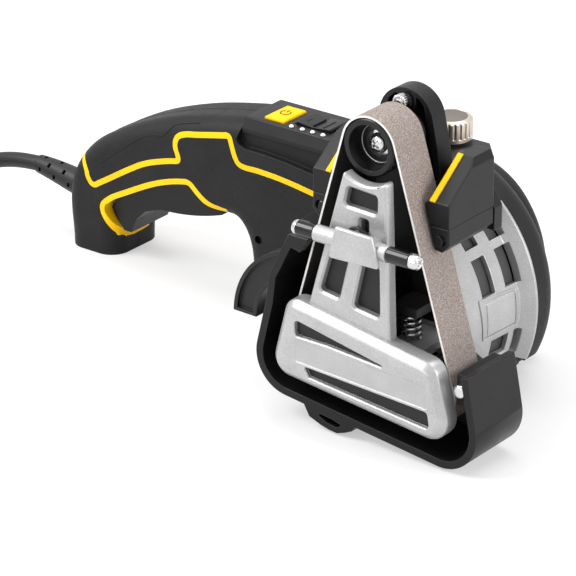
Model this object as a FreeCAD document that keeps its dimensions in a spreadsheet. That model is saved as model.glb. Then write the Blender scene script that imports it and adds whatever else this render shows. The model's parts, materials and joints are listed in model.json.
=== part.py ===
import FreeCAD, Part
import math
import os
import Sketcher

# Electric belt knife sharpener, as an assembly of separate pieces, in millimetres.
# X runs to the right along the belt plane, Y goes back along the motor shaft and Z is up.
# The drawing origin is the centre of the top pulley, on the front edge of the belt. Every piece
# is placed by originX, originY and originZ, so that the assembly stands centred on the floor.

doc = FreeCAD.newDocument("beltSharpener")
sheet = doc.addObject("Spreadsheet::Sheet", "sizes")


class Size:
    """A number together with the spreadsheet expression that it comes from."""

    def __init__(self, value, text):
        self.value = float(value)
        self.text = text

    def __add__(self, other):
        other = asSize(other)
        return Size(self.value + other.value, f"({self.text} + {other.text})")

    def __sub__(self, other):
        other = asSize(other)
        return Size(self.value - other.value, f"({self.text} - {other.text})")

    def __mul__(self, other):
        other = asSize(other)
        return Size(self.value * other.value, f"({self.text} * {other.text})")

    def __truediv__(self, other):
        other = asSize(other)
        return Size(self.value / other.value, f"({self.text} / {other.text})")

    def __neg__(self):
        return Size(-self.value, f"(0 - {self.text})")

    def __radd__(self, other):
        return asSize(other) + self

    def __rsub__(self, other):
        return asSize(other) - self

    def __rmul__(self, other):
        return asSize(other) * self

    def __float__(self):
        return self.value


def asSize(thing):
    return thing if isinstance(thing, Size) else Size(thing, f"({float(thing)!r})")


class Sizes:
    """The driving dimensions, kept as named cells of the sheet."""

    def __init__(self):
        self.row = 0

    def add(self, **cells):
        for name, value in cells.items():
            self.row += 1
            sheet.set(f"A{self.row}", name)
            sheet.set(f"B{self.row}", str(value))
            sheet.setAlias(f"B{self.row}", name)
            setattr(self, name, Size(value, f"sizes.{name}"))


d = Sizes()

# Where the drawing origin stands above the middle of the footprint
d.add(originX=83.2, originY=-47.3, originZ=125.5)

# Belt, pulleys and the arm that tightens the belt
d.add(beltWidth=19.05, beltThickness=0.9, pulleyRadius=12.2, pulleyFront=-0.2)
d.add(driveX=-24, driveZ=-85.5, idlerX=30.5, idlerZ=-98, axleRadius=3, runGap=0.05, slideGap=0.3)
d.add(dishRadius=9.4, dishDepth=7, hubRadius=5.4, screwHead=3.3, rimRound=0.8)
d.add(armThickness=4, armHalfWidth=10.5, armEnd=-42.5, armFoot=-70, armTop=9)
d.add(springX=14.2, springY=11, springRadius=3.6, springWire=0.7, springSeat=-81.5, springTurns=4)

# Cassette: front plate, its backing and the plate behind the belt
d.add(frontFace=-6.5, plateBack=-1, barFront=-10.5, barBevel=3.2, panelDepth=0.8)
d.add(backingThickness=2, fitGap=0.1, cassetteThickness=4.5)
d.add(finX=-50.6, finZ=-101.6, finRadius=35.2, finWidth=12, finRim=1.8, finRecess=1.6)

# Belt guard
d.add(guardFront=-6, guardDepth=32.5, guardWall=3.3, guardCorner=16.5)

# Housing, motor and bell
d.add(splitPlane=93, handleHalf=17, crownRound=9, drumRadius=44, motorBore=33, boreFront=36)
d.add(bellRadius=50, bellThickness=2, flangeRadius=58.8, flangePlane=70)
d.add(bellFront=30.5, bellStart=42, bellEnd=113, shaftRadius=4, statorRadius=32.5, statorBore=18)
d.add(armatureRadius=17.4, bearingRadius=11, bearingWidth=7)

# Sharpening guide
d.add(towerDepth=8.5, towerTop=17.5, towerWall=3.2, guideBack=62, guideFloor=-30)
d.add(wingOuter=33.3, wingFront=8, wingBack=39, wingTop=-5, wingBottom=-39.5)
d.add(wingSeam=-29, rampFoot=-19, rampHead=27, stripWidth=2.4, stripThickness=0.7)
d.add(pivotX=29.6, pivotZ=-34.5, pivotRadius=2, knobRadius=9, knobHeight=9, knobY=56, knobTop=-3.8)

# Edge guide
d.add(edgeZ=-36, edgeY=-11.2, rodRadius=3.5, barrelRadius=4.25, rodEnd=29.7, edgeMiddle=3.7)

# Controls on the handle
d.add(podTop=-41, lidWall=3, paddleHalf=13, paddleGap=0.5, paddlePinX=-191.5, paddlePinZ=-89)

# Coloured lines on the handle, and the dome behind the bell between two angles from the top
d.add(lineHalf=1.3, domeStart=20, domeEnd=115)

# Cord
d.add(cordRadius=3.6)

# Depths that follow the width of the belt
d.pulleyWidth = d.beltWidth + 0.35
d.armFront = d.beltWidth + 0.85
d.cassetteFront = d.beltWidth + 5.45
d.towerFront = d.beltWidth + 5.95


def bind(thing, prop, size):
    """Keep a property of an object bound to a size of the sheet."""
    thing.setExpression(prop, asSize(size).text)


def place(piece, x=0, y=0, z=0):
    """Put a piece at a point of the drawing and bind its place."""
    spot = [d.originX + x, d.originY + y, d.originZ + z]
    piece.Placement = FreeCAD.Placement(vec(*spot), FreeCAD.Rotation())
    for letter, size in zip("xyz", spot):
        piece.setExpression(f"Placement.Base.{letter}", size.text)


def vec(x, y, z=0.0):
    return FreeCAD.Vector(float(x), float(y), float(z))


def newBody(name, **where):
    body = doc.addObject("PartDesign::Body", name)
    body.Label = name
    place(body, **where)
    return body


def sketch(body, name, plane="XZ_Plane", offset=0):
    """A sketch on an origin plane of its own body. On XZ_Plane its normal points to the front."""
    drawing = body.newObject("Sketcher::SketchObject", name)
    base = [f for f in body.Origin.OriginFeatures if f.Role == plane][0]
    drawing.AttachmentSupport = [(base, "")]
    drawing.MapMode = "FlatFace"
    drawing.AttachmentOffset = FreeCAD.Placement(vec(0, 0, offset), FreeCAD.Rotation())
    drawing.setExpression("AttachmentOffset.Base.z", asSize(offset).text)
    return drawing


def pin(drawing, geometry, corner, x, y):
    """Hold one point of a sketch at a place given by two sizes."""
    for kind, size in (("DistanceX", asSize(x)), ("DistanceY", asSize(y))):
        number = drawing.addConstraint(Sketcher.Constraint(kind, -1, 1, geometry, corner, size.value))
        drawing.setExpression(f"Constraints[{number}]", size.text)


def polygon(drawing, points):
    """A closed outline of straight lines, each corner held at its own place."""
    count = len(points)
    lines = [Part.LineSegment(vec(*points[i]), vec(*points[(i + 1) % count])) for i in range(count)]
    first = drawing.addGeometry(lines, False)[0]
    for i, point in enumerate(points):
        drawing.addConstraint(Sketcher.Constraint("Coincident", first + i, 2, first + (i + 1) % count, 1))
        pin(drawing, first + i, 1, *point)


def circle(drawing, x, y, radius):
    radius = asSize(radius)
    ring = drawing.addGeometry(Part.Circle(vec(x, y), vec(0, 0, 1), radius.value), False)
    number = drawing.addConstraint(Sketcher.Constraint("Radius", ring, radius.value))
    drawing.setExpression(f"Constraints[{number}]", radius.text)
    pin(drawing, ring, 3, x, y)


def curve(drawing, steps):
    """A closed outline of lines (x, y) and three-point arcs (x, y, middleX, middleY)."""
    last = vec(*steps[-1][:2])
    for step in steps:
        end = vec(*step[:2])
        middle = vec(*step[2:]) if len(step) == 4 else None
        drawing.addGeometry(Part.Arc(last, middle, end) if middle else Part.LineSegment(last, end), False)
        last = end


def extrude(body, drawing, kind, length, name, reverse=False):
    """A pad or a pocket, of a bound length."""
    step = body.newObject(f"PartDesign::{kind}", name)
    step.Profile = drawing
    bind(step, "Length", length)
    step.Reversed = reverse
    return step


def revolve(body, drawing, name, kind="Revolution"):
    """A full turn of a sketch about its upright axis."""
    step = body.newObject(f"PartDesign::{kind}", name)
    step.Profile = drawing
    step.ReferenceAxis = (drawing, ["V_Axis"])
    step.Angle = 360
    return step


def edgesWhere(step, test):
    """Names of a feature's edges that pass a test."""
    doc.recompute()
    return [f"Edge{i + 1}" for i, edge in enumerate(step.Shape.Edges) if test(edge)]


def alongY(edge):
    """Whether a straight edge runs from front to back."""
    return edge.Curve.TypeId == "Part::GeomLine" and abs(abs(edge.Curve.Direction.y) - 1) < 1e-6


def near(edge, x, z, reach=0.05):
    middle = edge.CenterOfMass
    return math.hypot(middle.x - float(x), middle.z - float(z)) < reach


def inPlane(edge, axis, value):
    """Whether an edge lies wholly in the plane where one coordinate has a value."""
    box = edge.BoundBox
    low, high = ((box.XMin, box.XMax), (box.YMin, box.YMax), (box.ZMin, box.ZMax))[axis]
    return abs(low - float(value)) < 1e-3 and abs(high - float(value)) < 1e-3


def around(edge, points, reach=1):
    """Whether the middle of an edge lies in the box round some points in X and Z."""
    middle = edge.CenterOfMass
    across, up = [x for x, z in points], [z for x, z in points]
    return (min(across) - reach < middle.x < max(across) + reach
            and min(up) - reach < middle.z < max(up) + reach)


def dress(body, kind, step, edges, size, name):
    """A fillet or a chamfer on named edges of the last feature."""
    dressing = body.newObject(f"PartDesign::{kind}", name)
    dressing.Base = (step, edges)
    bind(dressing, "Radius" if kind == "Fillet" else "Size", size)
    return dressing


def roundCorners(body, step, corners, name):
    """Round the upright corners of a padded outline, each given as (x, z, radius)."""
    for number, (x, z, radius) in enumerate(corners):
        edges = edgesWhere(step, lambda edge: alongY(edge) and near(edge, x, z))
        step = dress(body, "Fillet", step, edges, radius, f"{name}{number}")
    return step


def feature(name, shape):
    """A piece made with Part's own functions, in drawing coordinates."""
    piece = doc.addObject("Part::Feature", name)
    piece.Label = name
    piece.Shape = shape
    place(piece)
    return piece


def rod(radius, start, end):
    """A solid cylinder between two points."""
    start, end = vec(*start), vec(*end)
    return Part.makeCylinder(float(radius), (end - start).Length, start, end - start)


def block(low, high):
    low, high = vec(*low), vec(*high)
    size = high - low
    return Part.makeBox(size.x, size.y, size.z, low)


def prism(points, front, back):
    """A solid between two Y planes, from an outline in X and Z."""
    corners = [vec(x, front, z) for x, z in points]
    face = Part.Face(Part.makePolygon(corners + corners[:1]))
    return face.extrude(vec(0, float(back) - float(front), 0))


def mirrored(shape):
    """The same piece on the other side of the belt."""
    return shape.mirror(vec(0, 0, 0), vec(1, 0, 0))


def sideLine(points, offset):
    """An open line of points moved sideways, to its right when the offset is positive."""
    offset = float(offset)
    points = [(float(x), float(z)) for x, z in points]
    sides = []
    for (ax, az), (bx, bz) in zip(points, points[1:]):
        length = math.hypot(bx - ax, bz - az)
        sides.append(((bz - az) / length, (ax - bx) / length))
    moved = []
    for i, (x, z) in enumerate(points):
        before, after = sides[max(i - 1, 0)], sides[min(i, len(sides) - 1)]
        scale = offset / (1 + before[0] * after[0] + before[1] * after[1])
        moved.append((x + scale * (before[0] + after[0]), z + scale * (before[1] + after[1])))
    return moved


def ringSector(drawing, x, z, outer, inner, start, end):
    """A sector of a ring between two angles in degrees, counted from the right and upward."""
    def at(radius, angle):
        turn = math.radians(float(angle))
        return float(x) + float(radius) * math.cos(turn), float(z) + float(radius) * math.sin(turn)

    middle = (float(start) + float(end)) / 2
    curve(drawing, [at(outer, start), at(outer, end) + at(outer, middle), at(inner, end),
                    at(inner, start) + at(inner, middle)])


def bendMiddle(start, direction, end):
    """The middle of the arc that leaves a point in a direction, or None where it is straight."""
    chord = end - start
    along = chord * (1 / chord.Length)
    sideways = direction - along * direction.dot(along)
    if sideways.Length < 1e-4:
        return None
    turn = math.acos(max(-1.0, min(1.0, direction.dot(along))))
    return start + chord * 0.5 + sideways * (0.5 * chord.Length * math.tan(turn / 2) / sideways.Length)


def bend(start, middle, end):
    return Part.Arc(start, middle, end) if middle else Part.LineSegment(start, end)


def biarc(start, startWay, end, endWay):
    """Two arcs that join two points and follow the given directions at both."""
    across, share = end - start, 2 * (1 - startWay.dot(endWay))
    along = across.dot(startWay + endWay)
    if share < 1e-9:
        reach = across.dot(across) / (2 * along)
    else:
        reach = (math.sqrt(along ** 2 + share * across.dot(across)) - along) / share
    joint = (start + end + (startWay - endWay) * reach) * 0.5
    return [bend(start, bendMiddle(start, startWay, joint), joint),
            bend(joint, bendMiddle(end, endWay * -1, joint), end)]


def smooth(nodes):
    """Arcs and lines through points that each have a heading in degrees: (x, y, heading)."""
    pieces = []
    for (ax, ay, a), (bx, by, b) in zip(nodes, nodes[1:]):
        ways = [vec(math.cos(math.radians(turn)), math.sin(math.radians(turn))) for turn in (a, b)]
        pieces += biarc(vec(ax, ay), ways[0], vec(bx, by), ways[1])
    return pieces


def outlineOf(nodes):
    """A closed smooth outline."""
    return smooth(nodes + nodes[:1])


def alongside(nodes, offset):
    """A smooth line moved to its left."""
    offset = float(offset)
    return [(x - offset * math.sin(math.radians(a)), y + offset * math.cos(math.radians(a)), a)
            for x, y, a in nodes]


def ribbon(nodes, half):
    """The outline of a narrow band along a smooth line, reaching so far to both sides."""
    there = alongside(nodes, half)
    back = [(x, y, a + 180) for x, y, a in reversed(alongside(nodes, -half))]
    caps = [Part.LineSegment(vec(*there[-1][:2]), vec(*back[0][:2])),
            Part.LineSegment(vec(*back[-1][:2]), vec(*there[0][:2]))]
    return smooth(there) + caps[:1] + smooth(back) + caps[1:]


def triggerNotch():
    """The outline of the trigger's opening, which the lower line edges."""
    edge = alongside(lowerLine, d.lineHalf)
    floor = -126
    corners = [edge[-1][:2], (edge[-1][0], floor), (edge[0][0], floor), edge[0][:2]]
    return smooth(edge) + [Part.LineSegment(vec(*a), vec(*b)) for a, b in zip(corners, corners[1:])]


def upright(pieces, y):
    """Sketch geometry stood up as a wire in the plane at one depth."""
    wire = Part.Wire([piece.toShape() for piece in pieces])
    wire.rotate(vec(0, 0), vec(1, 0), 90)
    wire.translate(vec(0, y))
    return wire


# Pulleys and belt

def pulley(name, x, z):
    """A belt pulley with rounded rims and a dished front, bored for its axle."""
    body = newBody(name, x=x, z=z)
    front, back = d.pulleyFront, d.pulleyFront + d.pulleyWidth
    profile = sketch(body, name + "Profile", plane="XY_Plane")
    bore = d.axleRadius + d.runGap
    depth = d.dishDepth
    polygon(profile, [
        (bore, front + depth + 2), (d.hubRadius, front + depth + 2), (d.hubRadius, front + depth),
        (d.dishRadius - 0.8, front + depth), (d.dishRadius, front), (d.pulleyRadius - d.rimRound, front),
        (d.pulleyRadius, front + d.rimRound), (d.pulleyRadius, back - d.rimRound),
        (d.pulleyRadius - d.rimRound, back), (bore, back)])
    revolve(body, profile, name + "Turned")
    return body


def beltPiece():
    """The endless abrasive belt, on the outer tangents of its three pulleys."""
    centres = [(0, 0), (float(d.idlerX), float(d.idlerZ)), (float(d.driveX), float(d.driveZ))]

    def loop(radius):
        edges, last, firstPoint = [], None, None
        count = len(centres)
        normals = []
        for i in range(count):
            (ax, az), (bx, bz) = centres[i], centres[(i + 1) % count]
            length = math.hypot(bx - ax, bz - az)
            normals.append((-(bz - az) / length, (bx - ax) / length))
        for i in range(count):
            (cx, cz), before, after = centres[i], normals[i - 1], normals[i]
            start = vec(cx + radius * before[0], 0, cz + radius * before[1])
            end = vec(cx + radius * after[0], 0, cz + radius * after[1])
            mx, mz = before[0] + after[0], before[1] + after[1]
            length = math.hypot(mx, mz)
            middle = vec(cx + radius * mx / length, 0, cz + radius * mz / length)
            if last is not None:
                edges.append(Part.LineSegment(last, start).toShape())
            edges.append(Part.Arc(start, middle, end).toShape())
            firstPoint = firstPoint or start
            last = end
        edges.append(Part.LineSegment(last, firstPoint).toShape())
        return Part.Wire(edges)

    inner = float(d.pulleyRadius + d.fitGap)
    filled, hollow = [Part.Face(loop(radius)).extrude(vec(0, d.beltWidth))
                      for radius in (inner + float(d.beltThickness), inner)]
    feature("abrasive_belt", filled.cut(hollow))


def axleScrew(name, x, z, back):
    """A shouldered pulley screw: axle, washer collar and pan head in the pulley's dish."""
    top = d.pulleyFront + d.dishDepth + 2 - d.slideGap
    shank = rod(d.axleRadius, (x, back, z), (x, top, z))
    collar = rod(d.hubRadius - 1, (x, top, z), (x, top - 0.8, z))
    head = rod(d.screwHead, (x, top - 0.8, z), (x, top - 3.4, z))
    ring = [edge for edge in head.Edges if edge.BoundBox.YMax < float(top) - 3.3]
    head = head.makeFillet(1.4, ring)
    feature(name, shank.fuse([collar, head]).removeSplitter())


# Cassette, as outlines in X and Z

bar = [(-33.2, -69), (39.1, -79.9), (48.8, -113.6), (-42, -103.7)]
spine = [(16.1, -84), (-28, -84), (-7, -10), (12.8, -10, 2.9, -13.1)]
backing = [(10.6, -14.8), (13.2, -76), (35.5, -82.5), (42.5, -103), (37, -109.8), (-36, -99.5),
           (-30.5, -73.5), (-21.6, -73.2), (-6, -14.8)]
barePanel = [(-24.5, -87), (36, -93.6), (37.5, -98.2), (-24.8, -95.6)]
windows = {
    "topWindow": [(-4.8, -16), (8.7, -16.8), (8.6, -23.9), (-6.4, -23.3)],
    "leftWindow": [(-13.6, -48), (-4.6, -48.2), (-9.3, -64.6), (-18.2, -63.2)],
    "rightWindow": [(2.4, -48), (10.2, -48), (10.5, -67.8), (-1.9, -66.3)],
    "keySlot": [(1.2, -26.6), (4.4, -26.6), (4.4, -31), (1.2, -31)],
    "upperSlot": [(-28, -78.6), (19, -86.4), (-27, -84.6)],
    "lowerSlot": [(-23.2, -97.6), (37.2, -100), (38, -106), (-21.4, -100.9)],
}
guardLine = [(53.2, -82), (62, -126.6), (-55, -113), (-46, -75.4), (-44.5, -63.5), (-36.6, -47.7)]


def frontPlate():
    """The die-cast front: a windowed spine above a bevelled bar, with a bare sunk panel."""
    body = newBody("front_plate")
    outline = sketch(body, "spineOutline", offset=-d.plateBack)
    curve(outline, spine)
    extrude(body, outline, "Pad", d.plateBack - d.frontFace, "spinePad")
    outline = sketch(body, "barOutline", offset=-d.plateBack)
    polygon(outline, bar)
    step = extrude(body, outline, "Pad", d.plateBack - d.barFront, "barPad")
    step = roundCorners(body, step, [(x, z, r) for (x, z), r in zip(bar, (7, 7, 9, 8))], "barCorner")
    rim = edgesWhere(step, lambda edge: inPlane(edge, 1, d.barFront))
    dress(body, "Chamfer", step, rim, d.barBevel, "barBevelEdge")
    for name, points in windows.items():
        opening = sketch(body, name, offset=-d.barFront)
        polygon(opening, points)
        step = extrude(body, opening, "Pocket", d.plateBack - d.barFront + 1, name + "Cut")
        if name.endswith("Window"):
            step = roundCorners(body, step, [(*point, 1.4) for point in points], name + "Corner")
            lip = edgesWhere(step, lambda edge: inPlane(edge, 1, d.frontFace) and around(edge, points))
            dress(body, "Chamfer", step, lip, 0.8, name + "Lip")
    panel = sketch(body, "panelOutline", offset=-d.barFront)
    polygon(panel, barePanel)
    extrude(body, panel, "Pocket", d.panelDepth, "panelCut")
    seat = sketch(body, "backingSeat", offset=-d.plateBack)
    polygon(seat, sideLine(backing + backing[:2], -d.fitGap)[1:-1])
    extrude(body, seat, "Pocket", d.backingThickness, "backingSeatCut", reverse=True)

    body = newBody("backing_plate")
    outline = sketch(body, "backingOutline", offset=-d.plateBack)
    polygon(outline, backing)
    extrude(body, outline, "Pad", d.backingThickness, "backingPad")


def cassettePlate():
    """The casting behind the belt, with its posts, arm rails, spring shelf and fin."""
    body = newBody("cassette_plate")
    back = d.cassetteFront + d.cassetteThickness
    inner = sideLine(guardLine, d.guardWall + d.fitGap)
    outline = sketch(body, "plateOutline", offset=-back)
    polygon(outline, [(46.5, -92), *inner[1:5], (-18.5, -31.5), (14, -31.5), (31, -84)])
    step = extrude(body, outline, "Pad", d.cassetteThickness, "platePad")
    innerRound = d.guardCorner - d.guardWall
    roundCorners(body, step, [(*inner[1], innerRound), (*inner[2], innerRound)], "plateCorner")
    posts = sketch(body, "postOutline", offset=-d.cassetteFront)
    polygon(posts, [(-8.5, -99.5), (15, -104.5), (17.5, -82), (-8.5, -82)])
    polygon(posts, [(-15.5, -64), (-1.5, -64), (-1.5, -53), (-12.5, -53)])
    extrude(body, posts, "Pad", d.cassetteFront - d.plateBack, "posts")
    rails = sketch(body, "railOutline", offset=-d.cassetteFront)
    inside = d.armHalfWidth + d.slideGap
    for side in (-1, 1):
        polygon(rails, [(side * inside, -32), (side * (inside + 2.5), -32), (side * (inside + 2.5), -42),
                        (side * inside, -42)])
    extrude(body, rails, "Pad", d.cassetteFront - d.armFront, "rails")
    shelf = sketch(body, "shelfOutline", offset=-d.cassetteFront)
    low = d.springSeat - 3.2
    polygon(shelf, [(8, low), (24.5, low), (24.5, d.springSeat), (8, d.springSeat)])
    extrude(body, shelf, "Pad", d.cassetteFront - 4, "springShelf")
    root = sketch(body, "finRoot", offset=-back)
    polygon(root, [(-38, -84), (-52.5, -84), (-53, -70.5), (-38, -66)])
    extrude(body, root, "Pad", d.cassetteThickness + 1.5, "finRootPad")
    fin = sketch(body, "finOutline", offset=-back)
    ringSector(fin, d.finX, d.finZ, d.finRadius, d.finRadius - d.finWidth, 92, 179)
    step = extrude(body, fin, "Pad", d.cassetteThickness + 1.5, "finPad")
    web = sketch(body, "finWeb", offset=-(back - d.cassetteThickness - 1.5))
    ringSector(web, d.finX, d.finZ, d.finRadius - d.finRim, d.finRadius - d.finWidth + d.finRim, 99, 176.5)
    extrude(body, web, "Pocket", d.finRecess, "finWebCut")
    bores = sketch(body, "bores", offset=-d.plateBack)
    circle(bores, d.driveX, d.driveZ, d.shaftRadius + 2)
    circle(bores, d.idlerX, d.idlerZ, d.axleRadius + 0.02)
    extrude(body, bores, "Pocket", back + 2, "boreCut")


def beltGuard():
    """The band guard round the lower pulleys, with a foot clip, a screw boss and its cut-outs."""
    body = newBody("belt_guard")
    inner = sideLine(guardLine, d.guardWall)
    outline = sketch(body, "bandOutline", offset=-(d.guardFront + d.guardDepth))
    polygon(outline, guardLine + inner[::-1])
    step = extrude(body, outline, "Pad", d.guardDepth, "bandPad")
    corners = [(*guardLine[1], d.guardCorner), (*guardLine[2], d.guardCorner)]
    corners += [(*inner[1], d.guardCorner - d.guardWall), (*inner[2], d.guardCorner - d.guardWall)]
    roundCorners(body, step, corners, "bandCorner")
    clip = sketch(body, "clipOutline", offset=-8)
    polygon(clip, [(-27.5, -115), (-1, -118.5), (-2.5, -121.5), (-6, -123.2), (-10, -124.6), (-14, -124.2),
                   (-18, -123.3), (-24, -121)])
    extrude(body, clip, "Pad", 14, "footClip")
    boss = sketch(body, "bossOutline", offset=-(d.cassetteFront - 0.3))
    polygon(boss, [(44.8, -97), (54, -97), (52, -84), (44.8, -84)])
    extrude(body, boss, "Pad", d.cassetteFront - 0.3 - d.plateBack, "screwBoss")
    hole = sketch(body, "screwHole", offset=-d.plateBack)
    circle(hole, 47, -90.6, 2)
    extrude(body, hole, "Pocket", 12, "screwHoleCut")
    gusset = sketch(body, "gussetOutline", offset=-(d.guardFront + 4.5))
    polygon(gusset, [(-36.6, -47.7), (-34.6, -43.6), (-25, -43.6), (-29, -50), (-33.2, -49)])
    extrude(body, gusset, "Pad", 4.5, "gussetPad")
    notch = sketch(body, "finNotch", plane="YZ_Plane", offset=-40)
    polygon(notch, [(22.5, -85), (30, -85), (30, -64.5), (22.5, -64.5)])
    extrude(body, notch, "Pocket", 20, "finNotchCut")

    head = rod(2.9, (47, d.plateBack, -90.6), (47, d.plateBack - 2.4, -90.6))
    rim = [edge for edge in head.Edges if edge.BoundBox.YMax < float(d.plateBack) - 2.3]
    feature("guard_screw", head.makeFillet(1.1, rim).fuse(rod(1.9, (47, -1, -90.6), (47, 9, -90.6))))


def tensionArm():
    """The sliding plate that carries the top pulley, with a tongue and a tab on the spring."""
    body = newBody("tension_arm")
    outline = sketch(body, "armOutline", offset=-(d.armFront + d.armThickness))
    half = d.armHalfWidth
    polygon(outline, [(-half, d.armEnd), (-half, d.armTop), (half, d.armTop), (half, d.armEnd - 2),
                      (20, d.armEnd - 2), (20, d.armFoot), (8, d.armFoot), (8, d.armEnd)])
    step = extrude(body, outline, "Pad", d.armThickness, "armPad")
    corners = [(x, d.armTop, half - 1.5) for x in (-half, half)] + [(20, d.armEnd - 2, 4), (-half, d.armEnd, 4)]
    roundCorners(body, step, corners, "armCorner")
    tab = sketch(body, "tabOutline", offset=-(d.armFront + d.armThickness))
    polygon(tab, [(8, d.armFoot), (20, d.armFoot), (20, d.armFoot + 4), (8, d.armFoot + 4)])
    extrude(body, tab, "Pad", d.armFront + d.armThickness - 6, "springTab")
    bore = sketch(body, "axleBore", offset=-d.armFront)
    circle(bore, 0, 0, d.axleRadius + 0.02)
    extrude(body, bore, "Pocket", d.armThickness + 1, "axleBoreCut")


def tube(nodes, radius):
    """A round tube along arcs, through nodes that are each a point and a direction."""
    pieces = []
    for (start, startWay), (end, endWay) in zip(nodes, nodes[1:]):
        straight = (end - start).cross(startWay).Length < 1e-6 and (endWay - startWay).Length < 1e-6
        pieces += [Part.LineSegment(start, end)] if straight else biarc(start, startWay, end, endWay)
    path = Part.Wire([piece.toShape() for piece in pieces])
    start, way = nodes[0]
    ring = Part.Wire([Part.Circle(start, way, float(radius)).toShape()])
    return path, path.makePipeShell([ring], True, False)


def selfGap(path, radius, turnLength):
    """The least gap between the turns of a tube, measured between points on its middle line."""
    points = path.discretize(Number=int(path.Length / 1.5))
    step = path.Length / (len(points) - 1)
    apart = int(turnLength / step)
    least = min((a - b).Length for i, a in enumerate(points) for b in points[i + apart:])
    return least - 2 * float(radius)


def spring():
    """The compression spring under the arm's tab."""
    top, bottom = float(d.armFoot), float(d.springSeat)
    wire, radius, turns = float(d.springWire), float(d.springRadius), int(d.springTurns.value)
    rise = (top - bottom - 2 * wire - 0.1) / turns
    slant = math.atan2(rise, 2 * math.pi * radius)
    nodes = []
    for quarter in range(4 * turns + 1):
        angle = math.pi / 2 * quarter
        spot = vec(d.springX + radius * math.cos(angle), d.springY + radius * math.sin(angle),
                   bottom + wire + 0.05 + rise * quarter / 4)
        way = vec(-math.sin(angle) * math.cos(slant), math.cos(angle) * math.cos(slant), math.sin(slant))
        nodes.append((spot, way))
    path, shape = tube(nodes, wire)
    print("spring gap", round(selfGap(path, wire, 2 * math.pi * radius * 0.6), 2))
    feature("tension_spring", shape)


# Housing

shellLine = [(-225.8, -104, 90), (-206, -70.4, 32), (-176.5, -55.7, 20.5), (-145, -46.4, 12), (-115, -42, 0),
             (-60, -41, 1), (-24, -39.5, 0), (22, -85.5, -90), (21.5, -110, -90), (11, -121, -180),
             (-110, -121, -180), (-121, -110, -270), (-123.5, -96.5, -246), (-131.5, -89.7, -182),
             (-144, -93.4, -163), (-172, -98.8, -174), (-190, -103.5, -150), (-195.5, -114, -93),
             (-196, -126, -90), (-210.25, -140.25, -180), (-224.5, -126, -270)]
rearLine = shellLine[:7] + [(17, -85.5, -90), (16.5, -112, -90), (7.5, -121, -180)] + shellLine[10:]
cavity = [(-199, -103), (-199.5, -92), (-195, -82.5), (-185, -79.5), (-171, -76), (-150, -70), (-136, -74),
          (-136, -103)]
upperLine = [(-218, -80.6, -32), (-212.6, -85.2, -55), (-211.4, -88, -84), (-209.8, -91.3, -55),
             (-207.6, -92.5, 0), (-204.4, -90.9, 31), (-182.6, -77.6, 30), (-163.9, -70.4, 15),
             (-159.4, -69.3, 16), (-158.4, -67.4, 105), (-160, -62.3, 95), (-156.6, -56.4, 22),
             (-145.9, -53.8, 13), (-132, -50.7, 12),
             (-129.2, -52, -75), (-127.2, -58.2, -70), (-123.4, -62.6, -12), (-113.9, -62.8, -2),
             (-102.7, -63.4, -5), (-83, -66, -9)]
lowerLine = [(-133, -87.2, 172), (-145, -83.6, 148), (-151, -78.9, 140), (-154.6, -77.9, 190),
             (-167.2, -81.3, 200), (-189.2, -91.8, 208), (-198.9, -97.4, 217), (-202.9, -102.6, 272),
             (-200.2, -108.6, 303), (-195.5, -114.8, 315), (-190, -120.3, 315)]
screws = [(-114, -95.1), (-211, -101), (-134, -58)]


def housingShell(name, line, face, inward):
    """One clamshell, from its outline, with a crown round the outer face.

    face is the depth of its outer face, and inward is 1 towards the back and -1 to the front.
    """
    body = newBody(name)
    flip = inward < 0
    outline = sketch(body, "shellOutline", offset=-d.splitPlane)
    outline.addGeometry(outlineOf(line), False)
    step = extrude(body, outline, "Pad", d.handleHalf, "shellPad", reverse=flip)
    rim = edgesWhere(step, lambda edge: inPlane(edge, 1, face))
    dress(body, "Fillet", step, rim, d.crownRound, "crown")
    return body


def sharedCuts(body, inward):
    """The trigger opening, the screw shanks, the control pocket and the cord entry."""
    flip = inward > 0
    sole = sketch(body, "soleOutline", offset=-d.splitPlane)
    polygon(sole, [(-240, -d.originZ), (-180, -d.originZ), (-180, -150), (-240, -150)])
    extrude(body, sole, "Pocket", d.handleHalf + 3, "soleCut", reverse=not flip)
    opening = sketch(body, "triggerOpening", offset=-d.splitPlane)
    opening.addGeometry(triggerNotch(), False)
    extrude(body, opening, "Pocket", d.handleHalf + 3, "triggerOpeningCut", reverse=not flip)
    room = sketch(body, "triggerRoom", offset=-d.splitPlane)
    polygon(room, cavity)
    extrude(body, room, "Pocket", d.paddleHalf + d.paddleGap, "triggerRoomCut", reverse=not flip)
    holes = sketch(body, "shankHoles", offset=-d.splitPlane)
    for x, z in screws:
        circle(holes, x, z, 1.6)
    extrude(body, holes, "Pocket", d.handleHalf + 3 if flip else 7, "shankHoleCut", reverse=not flip)
    pivot = sketch(body, "pinHole", offset=-d.splitPlane)
    circle(pivot, d.paddlePinX, d.paddlePinZ, 2)
    extrude(body, pivot, "Pocket", d.handleHalf - 1.5, "pinHoleCut", reverse=not flip)
    pocket = sketch(body, "podPocket", plane="XY_Plane", offset=d.podTop + 6)
    polygon(pocket, [(-122, 81.5), (-81, 81.5), (-81, 104.5), (-122, 104.5)])
    extrude(body, pocket, "Pocket", 20, "podPocketCut")
    seat = sketch(body, "lidSeat", plane="XY_Plane", offset=d.podTop + 6)
    polygon(seat, [(-124.6, 78.1), (-78.4, 78.1), (-78.4, 107.9), (-124.6, 107.9)])
    extrude(body, seat, "Pocket", 12.6, "lidSeatCut")


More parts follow.
